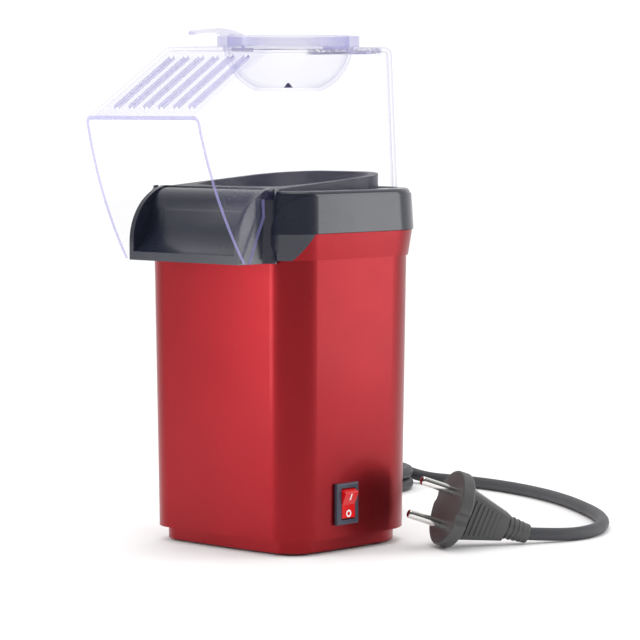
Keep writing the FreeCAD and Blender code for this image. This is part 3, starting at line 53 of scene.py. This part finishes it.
# ---------------------------------------------------------------- sizes and colours
class CordSettings(bpy.types.PropertyGroup):
    """The mains cord: its thickness, its coil and the points that its line follows."""
    radius: bpy.props.FloatProperty(
        name="Radius", description="Half the cord's thickness", default=0.0035,
        min=0.002, max=0.006, unit="LENGTH")
    turn_radius: bpy.props.FloatProperty(
        name="Outer turn", description="Radius of the coil's outermost turn", default=0.039,
        min=0.03, max=0.05, unit="LENGTH")
    coil_centre: bpy.props.FloatVectorProperty(
        name="Coil centre", description="Centre of the coil on the floor",
        default=(-0.118, 0.1765, 0.0), size=3, subtype="TRANSLATION")
    coil_exit_angle: bpy.props.FloatProperty(
        name="Coil exit", description="Angle round the coil at which the cord leaves it",
        default=math.radians(110), subtype="ANGLE")
    length: bpy.props.FloatProperty(
        name="Length", description="The cord's real length, from relief to plug", default=1.21,
        min=0.6, max=2.5, unit="LENGTH")
    tone: bpy.props.FloatVectorProperty(
        name="Cord colour", description="Colour of the cord's sheath",
        default=(0.045, 0.046, 0.052), size=3, subtype="COLOR")


class PlugSettings(bpy.types.PropertyGroup):
    """The two-pin plug: where its face is, which way its pins point, and its sizes."""
    face: bpy.props.FloatVectorProperty(
        name="Face", description="Centre of the face that the pins stand on",
        default=(0.084, 0.0352, 0.0215), size=3, subtype="TRANSLATION")
    heading: bpy.props.FloatProperty(
        name="Heading", description="The way that the pins point, round the vertical",
        default=math.radians(240), subtype="ANGLE")
    roll: bpy.props.FloatProperty(
        name="Roll", description="How far the plug is rolled about its own axis",
        default=math.radians(80), subtype="ANGLE")
    pitch: bpy.props.FloatProperty(
        name="Pitch", description="How far the pins are tipped up",
        default=math.radians(19.5), subtype="ANGLE")
    face_radius: bpy.props.FloatProperty(
        name="Face radius", description="Radius of the round face", default=0.0205,
        unit="LENGTH")
    length: bpy.props.FloatProperty(
        name="Body length", description="From the face to the strain relief", default=0.034,
        unit="LENGTH")
    relief_length: bpy.props.FloatProperty(
        name="Relief length", description="Length of the ribbed strain relief", default=0.014,
        unit="LENGTH")


class FinishSettings(bpy.types.PropertyGroup):
    """Colours of the finishes that show."""
    shell: bpy.props.FloatVectorProperty(
        name="Shell", description="Colour of the painted housing",
        default=(0.27, 0.008, 0.013), size=3, subtype="COLOR")
    collar: bpy.props.FloatVectorProperty(
        name="Collar", description="Colour of the dark collar moulding",
        default=(0.012, 0.014, 0.026), size=3, subtype="COLOR")
    clear: bpy.props.FloatVectorProperty(
        name="Clear", description="Tint of the clear hood and measuring cup",
        default=(0.26, 0.24, 0.52), size=3, subtype="COLOR")
    rocker: bpy.props.FloatVectorProperty(
        name="Rocker", description="Colour of the switch's rocker",
        default=(0.62, 0.004, 0.006), size=3, subtype="COLOR")


class CameraSettings(bpy.types.PropertyGroup):
    """Where the camera stands and how it looks at the object."""
    azimuth: bpy.props.FloatProperty(
        name="Azimuth", description="Angle round the object, from the front towards the switch",
        default=math.radians(43.5), subtype="ANGLE")
    distance: bpy.props.FloatProperty(
        name="Distance", description="From the object's axis, along the floor", default=1.58,
        unit="LENGTH")
    height: bpy.props.FloatProperty(
        name="Height", description="Of the lens above the floor", default=0.2355, unit="LENGTH")
    turn: bpy.props.FloatProperty(
        name="Turn", description="How far the camera is turned to the right of the axis",
        default=math.radians(0.687), subtype="ANGLE")
    dip: bpy.props.FloatProperty(
        name="Dip", description="How far the camera looks down", default=math.radians(4.25),
        subtype="ANGLE")
    lens: bpy.props.FloatProperty(
        name="Lens", description="Focal length on a 36 mm sensor", default=166.5,
        subtype="DISTANCE_CAMERA")


GROUPS = {"popcorn_cord": CordSettings, "popcorn_plug": PlugSettings,
          "popcorn_finish": FinishSettings, "popcorn_camera": CameraSettings}


# ---------------------------------------------------------------- mesh helpers
def piece_from(bm, name, body, material, smooth=True):
    """A mesh object made from a bmesh, riding on a body, with one material."""
    mesh = bpy.data.meshes.new(name)
    bmesh.ops.remove_doubles(bm, verts=bm.verts, dist=1e-6)
    bmesh.ops.recalc_face_normals(bm, faces=bm.faces)
    bm.to_mesh(mesh)
    bm.free()
    for face in mesh.polygons:
        face.use_smooth = smooth
    mesh.materials.append(material)
    piece = bpy.data.objects.new(name, mesh)
    bpy.context.scene.collection.objects.link(piece)
    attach(piece, body)
    return piece


def bevelled(piece, width, segments=3, angle=30):
    """Rounds a piece's sharp edges with a modifier."""
    modifier = piece.modifiers.new("rounded edges", "BEVEL")
    modifier.width = width
    modifier.segments = segments
    modifier.limit_method = "ANGLE"
    modifier.angle_limit = math.radians(angle)
    return modifier


def lathe(bm, profile, steps=48):
    """Spins a profile of (along, out) points about X into bm, in a full turn joined at its seam.
    """
    verts = [bm.verts.new((along, out, 0.0)) for along, out in profile]
    edges = [bm.edges.new(pair) for pair in zip(verts, verts[1:])]
    made = bmesh.ops.spin(bm, geom=verts + edges, cent=(0, 0, 0), axis=(1, 0, 0),
                          angle=2 * math.pi, steps=steps, use_merge=True)
    bmesh.ops.remove_doubles(bm, verts=bm.verts, dist=1e-7)
    return made


# ---------------------------------------------------------------- material helpers
def finish(name, colour, roughness, metallic=0.0, grain=600.0, depth=0.08, mottle=0.12,
           wear=0.10, stretch=(1, 1, 1), coat=0.0, specular=0.5):
    """A material with mottled colour, uneven roughness and a fine grain in relief."""
    material = bpy.data.materials.new(name)
    material.use_nodes = True
    nodes = material.node_tree.nodes
    links = material.node_tree.links
    shader = nodes["Principled BSDF"]
    shader.inputs["Metallic"].default_value = metallic
    shader.inputs["Specular IOR Level"].default_value = specular
    shader.inputs["Coat Weight"].default_value = coat
    shader.inputs["Coat Roughness"].default_value = 0.12
    place = nodes.new("ShaderNodeTexCoord")
    mapping = nodes.new("ShaderNodeMapping")
    mapping.inputs["Scale"].default_value = stretch
    links.new(place.outputs["Object"], mapping.inputs["Vector"])

    clouds = nodes.new("ShaderNodeTexNoise")
    clouds.inputs["Scale"].default_value = 28.0
    clouds.inputs["Detail"].default_value = 4.0
    links.new(mapping.outputs["Vector"], clouds.inputs["Vector"])
    tones = nodes.new("ShaderNodeValToRGB")
    tones.color_ramp.elements[0].position = 0.3
    tones.color_ramp.elements[1].position = 0.7
    tones.color_ramp.elements[0].color = (*[c * (1 - mottle) for c in colour], 1)
    tones.color_ramp.elements[1].color = (*[min(1, c * (1 + mottle)) for c in colour], 1)
    links.new(clouds.outputs["Fac"], tones.inputs["Fac"])
    links.new(tones.outputs["Color"], shader.inputs["Base Color"])

    smears = nodes.new("ShaderNodeTexNoise")
    smears.inputs["Scale"].default_value = 60.0
    smears.inputs["Detail"].default_value = 6.0
    links.new(mapping.outputs["Vector"], smears.inputs["Vector"])
    gloss = nodes.new("ShaderNodeMapRange")
    gloss.inputs["To Min"].default_value = max(0.02, roughness - wear)
    gloss.inputs["To Max"].default_value = min(1.0, roughness + wear)
    links.new(smears.outputs["Fac"], gloss.inputs["Value"])
    links.new(gloss.outputs["Result"], shader.inputs["Roughness"])

    fine = nodes.new("ShaderNodeTexNoise")
    fine.inputs["Scale"].default_value = grain
    fine.inputs["Detail"].default_value = 3.0
    links.new(mapping.outputs["Vector"], fine.inputs["Vector"])
    relief = nodes.new("ShaderNodeBump")
    relief.inputs["Strength"].default_value = depth
    relief.inputs["Distance"].default_value = 0.0002
    links.new(fine.outputs["Fac"], relief.inputs["Height"])
    links.new(relief.outputs["Normal"], shader.inputs["Normal"])
    return material


def clear_plastic(name, tint, levels):
    """Clear moulded plastic that shows its tint where it is seen edge-on."""
    material = finish(name, tint, 0.06, grain=35.0, depth=0.04, mottle=0.02, wear=0.02)
    nodes = material.node_tree.nodes
    links = material.node_tree.links
    facing = nodes.new("ShaderNodeLayerWeight")
    facing.inputs["Blend"].default_value = 0.5
    cover = nodes.new("ShaderNodeValToRGB")
    while len(cover.color_ramp.elements) < len(levels):
        cover.color_ramp.elements.new(0.5)
    for element, (position, level) in zip(cover.color_ramp.elements, levels):
        element.position = position
        element.color = (level, level, level, 1.0)
    links.new(facing.outputs["Facing"], cover.inputs["Fac"])
    links.new(cover.outputs["Color"], nodes["Principled BSDF"].inputs["Alpha"])
    return material


def clear_copy(node, materials, material_of):
    """A merged copy of a CAD node that stands for it, with a material for each kind of face."""
    bm = bmesh.new()
    bm.from_mesh(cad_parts[node].data)
    bmesh.ops.remove_doubles(bm, verts=bm.verts, dist=1e-6)
    bm.normal_update()
    for edge in bm.edges:
        edge.smooth = edge.calc_face_angle(math.pi) < SMOOTH_LIMIT
    for face in bm.faces:
        face.smooth = True
        face.material_index = material_of(face.calc_center_median(), face.normal)
    mesh = bpy.data.meshes.new(f"{node}_clear")
    bm.to_mesh(mesh)
    bm.free()
    for material in materials:
        mesh.materials.append(material)
    piece = bpy.data.objects.new(f"{node}_clear", mesh)
    bpy.context.scene.collection.objects.link(piece)
    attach(piece, node)
    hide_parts(node)
    return piece


def give(material, *names):
    """Puts one material on each of these CAD nodes."""
    for name in names:
        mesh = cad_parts[name].data
        mesh.materials.clear()
        mesh.materials.append(material)


def settings(name):
    """One of the scene's groups of sizes and colours."""
    return getattr(bpy.context.scene, name)


# ---------------------------------------------------------------- camera
class POPCORN_OT_camera(bpy.types.Operator):
    """Stands the camera at the front corner, by the switch"""
    bl_idname = "popcorn.camera"
    bl_label = "Camera"

    def execute(self, context):
        s = settings("popcorn_camera")
        data = bpy.data.cameras.new("camera")
        data.lens = s.lens
        data.sensor_width = 36.0
        camera = bpy.data.objects.new("camera", data)
        context.scene.collection.objects.link(camera)
        context.scene.camera = camera
        ahead = Vector((-math.sin(s.azimuth), math.cos(s.azimuth), 0.0))
        side = Vector((math.cos(s.azimuth), math.sin(s.azimuth), 0.0))
        level = ahead * math.cos(s.turn) + side * math.sin(s.turn)
        look = level * math.cos(s.dip) - UP * math.sin(s.dip)
        camera.location = -ahead * s.distance + UP * s.height
        camera.rotation_euler = look.to_track_quat("-Z", "Y").to_euler()
        return {"FINISHED"}


# ---------------------------------------------------------------- cord and plug
CORD_EXIT = Vector((-0.016, 0.083, 0.017))
TO_COIL = [(-0.017, 0.104, 0.0144), (-0.027, 0.123, 0.0094), (-0.045, 0.136, 0.005),
           (-0.066, 0.140, 0.0036), (-0.086, 0.139, 0.0036)]
TO_PLUG = [(-0.096, 0.2255, 0.0036), (-0.070, 0.2305, 0.0036), (-0.040, 0.229, 0.0036),
           (-0.010, 0.222, 0.0036), (0.022, 0.209, 0.0036), (0.052, 0.191, 0.0036),
           (0.082, 0.169, 0.0036), (0.106, 0.144, 0.0036), (0.119, 0.117, 0.0036),
           (0.1176, 0.0935, 0.0036)]
COIL_LEAD = 0.018
FLOOR_GAP = 0.0001
TURN_GAP = 0.0003


def plug_axis(s):
    """The way that the plug's pins point."""
    return Vector((math.cos(s.pitch) * math.cos(s.heading),
                   math.cos(s.pitch) * math.sin(s.heading), math.sin(s.pitch)))


def plug_place(s):
    """The transform from a plug made along +X to where it lies."""
    aim = Matrix.Rotation(s.heading, 4, "Z") @ Matrix.Rotation(-s.pitch, 4, "Y")
    return Matrix.Translation(Vector(s.face)) @ aim @ Matrix.Rotation(s.roll, 4, "X")


COIL_LANE_MOVES = ((0.86, 1.0), (1.66, 1.82), (2.46, 2.62))
COIL_TRAVEL = 3.0
POINTS_A_TURN = 20


def coil_points(s):
    """The coil's turns: outer low, inner low, inner high, then outer high again."""
    step = 2 * s.radius + TURN_GAP
    low = s.radius + FLOOR_GAP
    spread = 1 / math.cos(math.pi / POINTS_A_TURN)
    outer = s.turn_radius * spread
    inner = (s.turn_radius - step) * spread
    lanes = ((outer, low), (inner, low), (inner, low + step), (outer, low + step))
    start = -math.pi / 2
    travel = COIL_TRAVEL + ((start - s.coil_exit_angle) % (2 * math.pi)) / (2 * math.pi)
    count = int(travel * POINTS_A_TURN)
    points = []
    for index in range(1, count + 1):
        turns = index / POINTS_A_TURN
        radius, height = lanes[0]
        for lane, (begin, end) in zip(lanes[1:], COIL_LANE_MOVES):
            share = min(1.0, max(0.0, (turns - begin) / (end - begin)))
            radius += (lane[0] - radius) * share
            height += (lane[1] - height) * share
        angle = start - 2 * math.pi * turns
        points.append(Vector(s.coil_centre)
                      + Vector((radius * math.cos(angle), radius * math.sin(angle), height)))
    return points


def coil_ends(s):
    """Where the cord goes into the coil, and the two points where it comes down off it."""
    centre = Vector(s.coil_centre)
    entry = centre + Vector((COIL_LEAD, -s.turn_radius, s.radius + FLOOR_GAP))
    angle = s.coil_exit_angle
    heading = Vector((math.sin(angle), -math.cos(angle), 0.0))
    edge = centre + s.turn_radius * Vector((math.cos(angle), math.sin(angle), 0.0))
    top = UP * (3 * s.radius + TURN_GAP)
    return entry, [edge + heading * COIL_LEAD * 0.5 + top, edge + heading * COIL_LEAD + top * 0.9]


class POPCORN_OT_cord(bpy.types.Operator):
    """Lays the mains cord from the strain relief through its coil to the plug"""
    bl_idname = "popcorn.cord"
    bl_label = "Mains cord"

    def execute(self, context):
        s = settings("popcorn_cord")
        plug = settings("popcorn_plug")
        entry, leave = coil_ends(s)
        tail = Vector(plug.face) - plug_axis(plug) * (plug.length + plug.relief_length)
        route = [CORD_EXIT, *TO_COIL, entry, *coil_points(s), *leave, *TO_PLUG, tail]
        curve = bpy.data.curves.new("mains_cord_line", "CURVE")
        curve.dimensions = "3D"
        curve.bevel_depth = s.radius
        curve.bevel_resolution = 5
        curve.use_fill_caps = True
        curve.resolution_u = 6
        spline = curve.splines.new("NURBS")
        spline.points.add(len(route) - 1)
        for point, place in zip(spline.points, route):
            point.co = (*place, 1.0)
        spline.order_u = 3
        spline.use_endpoint_u = True
        curve.materials.append(finish("cord sheath", s.tone, 0.52, grain=900, depth=0.10))
        cord = bpy.data.objects.new("cord_line", curve)
        context.scene.collection.objects.link(cord)
        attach(cord, "base")
        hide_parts("mains_cord", "cord_coil")
        give(finish("tie strap", (0.03, 0.03, 0.032), 0.6, grain=1500, depth=0.2), "cord_tie")
        return {"FINISHED"}


RELIEF_RIBS = 5
GRIP_RIBS = 7


class POPCORN_OT_plug(bpy.types.Operator):
    """Ribs the plug's strain relief and grip, and finishes its body and pins"""
    bl_idname = "popcorn.plug"
    bl_label = "Plug"

    def execute(self, context):
        s = settings("popcorn_plug")
        sheath = finish("plug moulding", (0.066, 0.066, 0.068), 0.42, grain=1800, depth=0.12)
        give(sheath, "plug_body")
        give(finish("plated pins", (0.80, 0.79, 0.77), 0.16, metallic=1.0, grain=900,
                    depth=0.03, mottle=0.05, wear=0.05), "plug_pins")
        bm = bmesh.new()
        for index in range(RELIEF_RIBS):
            along = -s.length - s.relief_length * (index + 0.6) / RELIEF_RIBS
            out = 0.0066 - 0.0016 * index / RELIEF_RIBS
            lathe(bm, [(along - 0.0008, 0.0042), (along - 0.0007, out - 0.0002),
                       (along - 0.0003, out), (along + 0.0003, out),
                       (along + 0.0007, out - 0.0002), (along + 0.0008, 0.0042)], 40)
        for side in (-1, 1):
            for index in range(GRIP_RIBS):
                share = (index + 0.5) / GRIP_RIBS
                along = -0.011 - 0.019 * share
                made = bmesh.ops.create_cube(bm, size=1.0)
                half = 0.0102 - 0.0042 * share
                lift = 0.0078 - 0.0020 * share
                bmesh.ops.scale(bm, verts=made["verts"], vec=(0.0012, 2 * half, 0.0012))
                bmesh.ops.translate(bm, verts=made["verts"], vec=(along, 0.0, side * lift))
        bm.transform(plug_place(s))
        ribs = piece_from(bm, "plug_ribs", "base", sheath)
        bevelled(ribs, 0.0003, segments=2)
        return {"FINISHED"}


# ---------------------------------------------------------------- switch
ROCKER_PIVOT = Vector((0.0554335, -0.013, 0.0258))
ROCKER_TILT = math.radians(11.0)
ROCKER_FACE_MID = 0.0028          # pivot to the middle of the rocker's face
ROCKER_FACE_END = 0.0042          # pivot to the ends of the rocker's face
MARK_HEIGHT = 0.0045              # centre of each mark, from the middle of the face
MARK_PROUD = 0.00006


def on_rocker(up_face):
    """The transform to a place on the rocker's face, this far above its middle."""
    lift = ROCKER_FACE_MID + (ROCKER_FACE_END - ROCKER_FACE_MID) * abs(up_face) / 0.0078
    slope = math.copysign(math.atan((ROCKER_FACE_END - ROCKER_FACE_MID) / 0.0078), up_face)
    local = Matrix.Translation((lift + MARK_PROUD, 0, up_face)) @ Matrix.Rotation(slope, 4, "Y")
    return Matrix.Translation(ROCKER_PIVOT) @ Matrix.Rotation(ROCKER_TILT, 4, "Y") @ local


class POPCORN_OT_switch(bpy.types.Operator):
    """Finishes the rocker switch and prints its on and off marks"""
    bl_idname = "popcorn.switch"
    bl_label = "Switch"

    def execute(self, context):
        tone = settings("popcorn_finish").rocker
        rocker = finish("rocker moulding", tone, 0.20, grain=300, depth=0.02, mottle=0.10,
                        wear=0.05, coat=0.4)
        shader = rocker.node_tree.nodes["Principled BSDF"]
        shader.inputs["Subsurface Weight"].default_value = 0.3
        shader.inputs["Subsurface Radius"].default_value = (0.003, 0.0004, 0.0004)
        give(rocker, "rocker")
        give(finish("switch case", (0.040, 0.046, 0.068), 0.32, grain=900, depth=0.05),
             "switch_body")
        white = finish("white marks", (0.85, 0.85, 0.85), 0.5, grain=900, depth=0.03,
                       mottle=0.04)
        bar = bmesh.new()
        bmesh.ops.create_cube(bar, size=1.0)
        bmesh.ops.scale(bar, verts=bar.verts, vec=(0.0003, 0.0008, 0.0036))
        bar.transform(on_rocker(MARK_HEIGHT))
        piece_from(bar, "mark_on", "rocker", white, smooth=False)
        loop = bmesh.new()
        lathe(loop, [(-0.00015, 0.0011), (0.00015, 0.0011), (0.00015, 0.0019),
                     (-0.00015, 0.0019), (-0.00015, 0.0011)], 40)
        loop.transform(on_rocker(-MARK_HEIGHT))
        piece_from(loop, "mark_off", "rocker", white, smooth=False)
        return {"FINISHED"}


# ---------------------------------------------------------------- finishes of the CAD nodes
class POPCORN_OT_shell(bpy.types.Operator):
    """Paints the housing, its band and the plinth in satin red"""
    bl_idname = "popcorn.shell"
    bl_label = "Painted shell"

    def execute(self, context):
        tone = settings("popcorn_finish").shell
        paint = finish("satin red paint", tone, 0.34, metallic=0.85, grain=2600, depth=0.06,
                       mottle=0.05, wear=0.04, coat=0.10)
        give(paint, "housing", "trim_band", "base_cover")
        give(finish("foot rubber", (0.030, 0.030, 0.032), 0.75, grain=1200, depth=0.3), "feet")
        return {"FINISHED"}


class POPCORN_OT_collar(bpy.types.Operator):
    """Finishes the dark collar with its chute, and the ring round the chamber's mouth"""
    bl_idname = "popcorn.collar"
    bl_label = "Collar and chute"

    def execute(self, context):
        tone = settings("popcorn_finish").collar
        give(finish("collar moulding", tone, 0.26, grain=700, depth=0.04, mottle=0.08,
                    wear=0.06, coat=0.3), "top_collar")
        give(finish("funnel moulding", [0.8 * c for c in tone], 0.40, grain=900, depth=0.06),
             "funnel_ring")
        return {"FINISHED"}


SMOOTH_LIMIT = math.radians(30)
SLOT_PANEL_NORMAL = Vector((0.0, -0.538, 0.843))
SIDE_WALL_X = 0.035               # the slots are all nearer the middle than this
FLAT = 0.97                       # cosine under which a face isn't part of a flat wall
WALL, EDGE = 0, 1
CLEAR_LEVELS = ((0.0, 0.02), (0.45, 0.03), (0.62, 0.12), (0.85, 0.34), (1.0, 0.60))
EDGE_LEVELS = ((0.0, 0.50), (1.0, 0.72))
CUP_LEVELS = ((0.0, 0.03), (0.55, 0.05), (0.80, 0.16), (1.0, 0.50))


def hood_face(centre, normal):
    """Whether a face of the hood is a wall or one of the thin edges that carry the tint."""
    side_wall = abs(normal.x) > FLAT and abs(centre.x) > SIDE_WALL_X
    roof = abs(normal.z) > FLAT and centre.z > 0.2
    back_wall = abs(normal.y) > FLAT and centre.y > 0.045
    panel = abs(normal.dot(SLOT_PANEL_NORMAL)) > FLAT
    folded = not (abs(normal.x) > FLAT or abs(normal.x) < 0.03) and centre.z > 0.2
    return WALL if side_wall or roof or back_wall or panel or folded else EDGE


def cup_face(centre, normal):
    """Whether a face of the cup is its thin bowl or the thicker ring and handle above it."""
    return EDGE if centre.z > 0.2636 and abs(normal.z) < 0.5 else WALL


class POPCORN_OT_clear(bpy.types.Operator):
    """Makes the hood and the measuring cup clear, with tinted edges"""
    bl_idname = "popcorn.clear"
    bl_label = "Hood and measuring cup"

    def execute(self, context):
        tint = settings("popcorn_finish").clear
        edge = clear_plastic("tinted edge", tint, EDGE_LEVELS)
        wall = clear_plastic("clear wall", tint, CLEAR_LEVELS)
        bowl = clear_plastic("clear bowl", tint, CUP_LEVELS)
        rim = clear_plastic("clear rim", tint, ((0.0, 0.16), (1.0, 0.55)))
        clear_copy("hood", (wall, edge), hood_face)
        clear_copy("measuring_cup", (bowl, rim), cup_face)
        return {"FINISHED"}


def inner_finishes():
    """Name, colour, roughness, metallic, stretch and nodes of each finish inside."""
    return (
        ("spun aluminium", (0.80, 0.80, 0.81), 0.34, 1.0, (1, 1, 12),
         ("popping_chamber", "thermostat")),
        ("zinc-plated steel", (0.58, 0.58, 0.60), 0.36, 1.0, (1, 1, 1),
         ("base_screws", "bracket_screws", "motor_screws", "flange_screws", "clamp_screws",
          "motor_shaft", "motor_bracket", "thermal_fuse")),
        ("drawn steel", (0.55, 0.55, 0.56), 0.42, 1.0, (1, 1, 8), ("motor_can", "heat_shield")),
        ("ferrite and copper", (0.16, 0.11, 0.09), 0.50, 0.6, (1, 1, 20),
         ("motor_magnets", "motor_rotor")),
        ("resistance wire", (0.24, 0.21, 0.19), 0.55, 0.9, (1, 1, 1), ("heater_coil",)),
        ("mica sheet", (0.52, 0.44, 0.30), 0.45, 0.0, (6, 6, 1), ("mica_sleeve", "heater_frame")),
        ("brass contacts", (0.72, 0.55, 0.26), 0.30, 1.0, (1, 1, 1),
         ("rocker_plunger", "contact_blade", "switch_terminals")),
        ("black nylon", (0.030, 0.031, 0.034), 0.50, 0.0, (1, 1, 1),
         ("motor_end_cap", "diodes", "cord_clamp")),
        ("glass-filled nylon", (0.055, 0.055, 0.060), 0.58, 0.0, (1, 1, 3),
         ("fan", "fan_housing")),
        ("relief rubber", (0.035, 0.035, 0.038), 0.62, 0.0, (1, 1, 1),
         ("strain_relief", "inner_cord")),
        ("silicone seal", (0.55, 0.52, 0.48), 0.60, 0.0, (1, 1, 1), ("chamber_seal",)),
        ("circuit board", (0.045, 0.16, 0.07), 0.40, 0.0, (3, 3, 3), ("rectifier_board",)),
        ("brown wire", (0.16, 0.065, 0.03), 0.48, 0.0, (1, 1, 1), ("wire_live",)),
        ("blue wire", (0.04, 0.10, 0.34), 0.48, 0.0, (1, 1, 1), ("wire_neutral",)),
    )


class POPCORN_OT_inside(bpy.types.Operator):
    """Finishes the chamber, heater, fan, motor and wiring"""
    bl_idname = "popcorn.inside"
    bl_label = "Works inside"

    def execute(self, context):
        for name, tone, roughness, metallic, stretch, nodes in inner_finishes():
            give(finish(name, tone, roughness, metallic=metallic, stretch=stretch), *nodes)
        return {"FINISHED"}


# ---------------------------------------------------------------- stage
LIGHTS = (
    ("right softbox", (0.62, 0.62, 0.20), 0.30, 0.70, 2.0),
    ("left softbox", (-0.34, -0.62, 0.20), 0.14, 0.60, 1.8),
    ("top", (0.1, 0.0, 1.3), 0.9, 0.9, 4.0),
)
ROOM_BRIGHTNESS = 1.15
GLOSS_DARKEST = 0.10              # what glossy surfaces reflect from the dark end of the room
GLOSS_BRIGHTEST = 1.0
BRIGHT_END = (-0.69, 0.72, 0.10)  # the way to the bright end of the room


def white_room():
    """A white room whose near end is dark in reflections, so that glossy faces get contrast."""
    world = bpy.data.worlds.new("white room")
    world.use_nodes = True
    nodes = world.node_tree.nodes
    links = world.node_tree.links
    place = nodes.new("ShaderNodeTexCoord")
    along = nodes.new("ShaderNodeVectorMath")
    along.operation = "DOT_PRODUCT"
    along.inputs[1].default_value = BRIGHT_END
    links.new(place.outputs["Generated"], along.inputs[0])
    room = nodes.new("ShaderNodeMapRange")
    room.interpolation_type = "SMOOTHSTEP"
    room.inputs["From Min"].default_value = -0.6
    room.inputs["From Max"].default_value = 1.0
    room.inputs["To Min"].default_value = GLOSS_DARKEST
    room.inputs["To Max"].default_value = GLOSS_BRIGHTEST
    links.new(along.outputs["Value"], room.inputs["Value"])
    rays = nodes.new("ShaderNodeLightPath")
    pick = nodes.new("ShaderNodeMix")
    pick.inputs["A"].default_value = ROOM_BRIGHTNESS
    links.new(rays.outputs["Is Glossy Ray"], pick.inputs["Factor"])
    links.new(room.outputs["Result"], pick.inputs["B"])
    sky = nodes["Background"]
    sky.inputs["Color"].default_value = (1.0, 1.0, 1.0, 1.0)
    links.new(pick.outputs["Result"], sky.inputs["Strength"])
    return world


class POPCORN_OT_stage(bpy.types.Operator):
    """Sets a plain pale floor and soft studio lights"""
    bl_idname = "popcorn.stage"
    bl_label = "Stage"

    def execute(self, context):
        bm = bmesh.new()
        bmesh.ops.create_grid(bm, x_segments=8, y_segments=8, size=4.0)
        mesh = bpy.data.meshes.new("floor")
        bm.to_mesh(mesh)
        bm.free()
        mesh.materials.append(finish("pale floor", (0.93, 0.93, 0.93), 0.7, grain=200,
                                     depth=0.01, mottle=0.01))
        floor = bpy.data.objects.new("floor", mesh)
        context.scene.collection.objects.link(floor)
        for name, place, width, height, power in LIGHTS:
            light = bpy.data.lights.new(name, "AREA")
            light.shape = "RECTANGLE"
            light.size = width
            light.size_y = height
            light.energy = power
            lamp = bpy.data.objects.new(name, light)
            lamp.location = place
            aim = Vector((0.0, 0.0, 0.12)) - Vector(place)
            lamp.rotation_euler = aim.to_track_quat("-Z", "Y").to_euler()
            context.scene.collection.objects.link(lamp)
        context.scene.world = white_room()
        context.scene.view_settings.view_transform = "Standard"
        return {"FINISHED"}


# ---------------------------------------------------------------- panel and start
OPERATORS = (POPCORN_OT_camera, POPCORN_OT_cord, POPCORN_OT_plug, POPCORN_OT_switch,
             POPCORN_OT_shell, POPCORN_OT_collar, POPCORN_OT_clear, POPCORN_OT_inside,
             POPCORN_OT_stage)


class POPCORN_PT_panel(bpy.types.Panel):
    """Lists the popcorn maker's pieces, in the order that they are made"""
    bl_idname = "POPCORN_PT_panel"
    bl_label = "Popcorn Maker"
    bl_space_type = "VIEW_3D"
    bl_region_type = "UI"
    bl_category = "Popcorn Maker"

    def draw(self, context):
        for group in GROUPS:
            for name in getattr(context.scene, group).bl_rna.properties.keys():
                if name not in ("rna_type", "name"):
                    self.layout.prop(getattr(context.scene, group), name)
        for operator in OPERATORS:
            self.layout.operator(operator.bl_idname)


def register():
    """Adds the settings, operators and panel."""
    for item in (*GROUPS.values(), *OPERATORS, POPCORN_PT_panel):
        bpy.utils.register_class(item)
    for name, group in GROUPS.items():
        setattr(bpy.types.Scene, name, bpy.props.PointerProperty(type=group))


def unregister():
    """Takes the settings, operators and panel away."""
    for name in GROUPS:
        delattr(bpy.types.Scene, name)
    for item in (POPCORN_PT_panel, *reversed(OPERATORS), *GROUPS.values()):
        bpy.utils.unregister_class(item)


def main():
    """Makes every piece in order."""
    register()
    for operator in OPERATORS:
        group, name = operator.bl_idname.split(".")
        getattr(getattr(bpy.ops, group), name)()


if __name__ == "__main__":
    main()
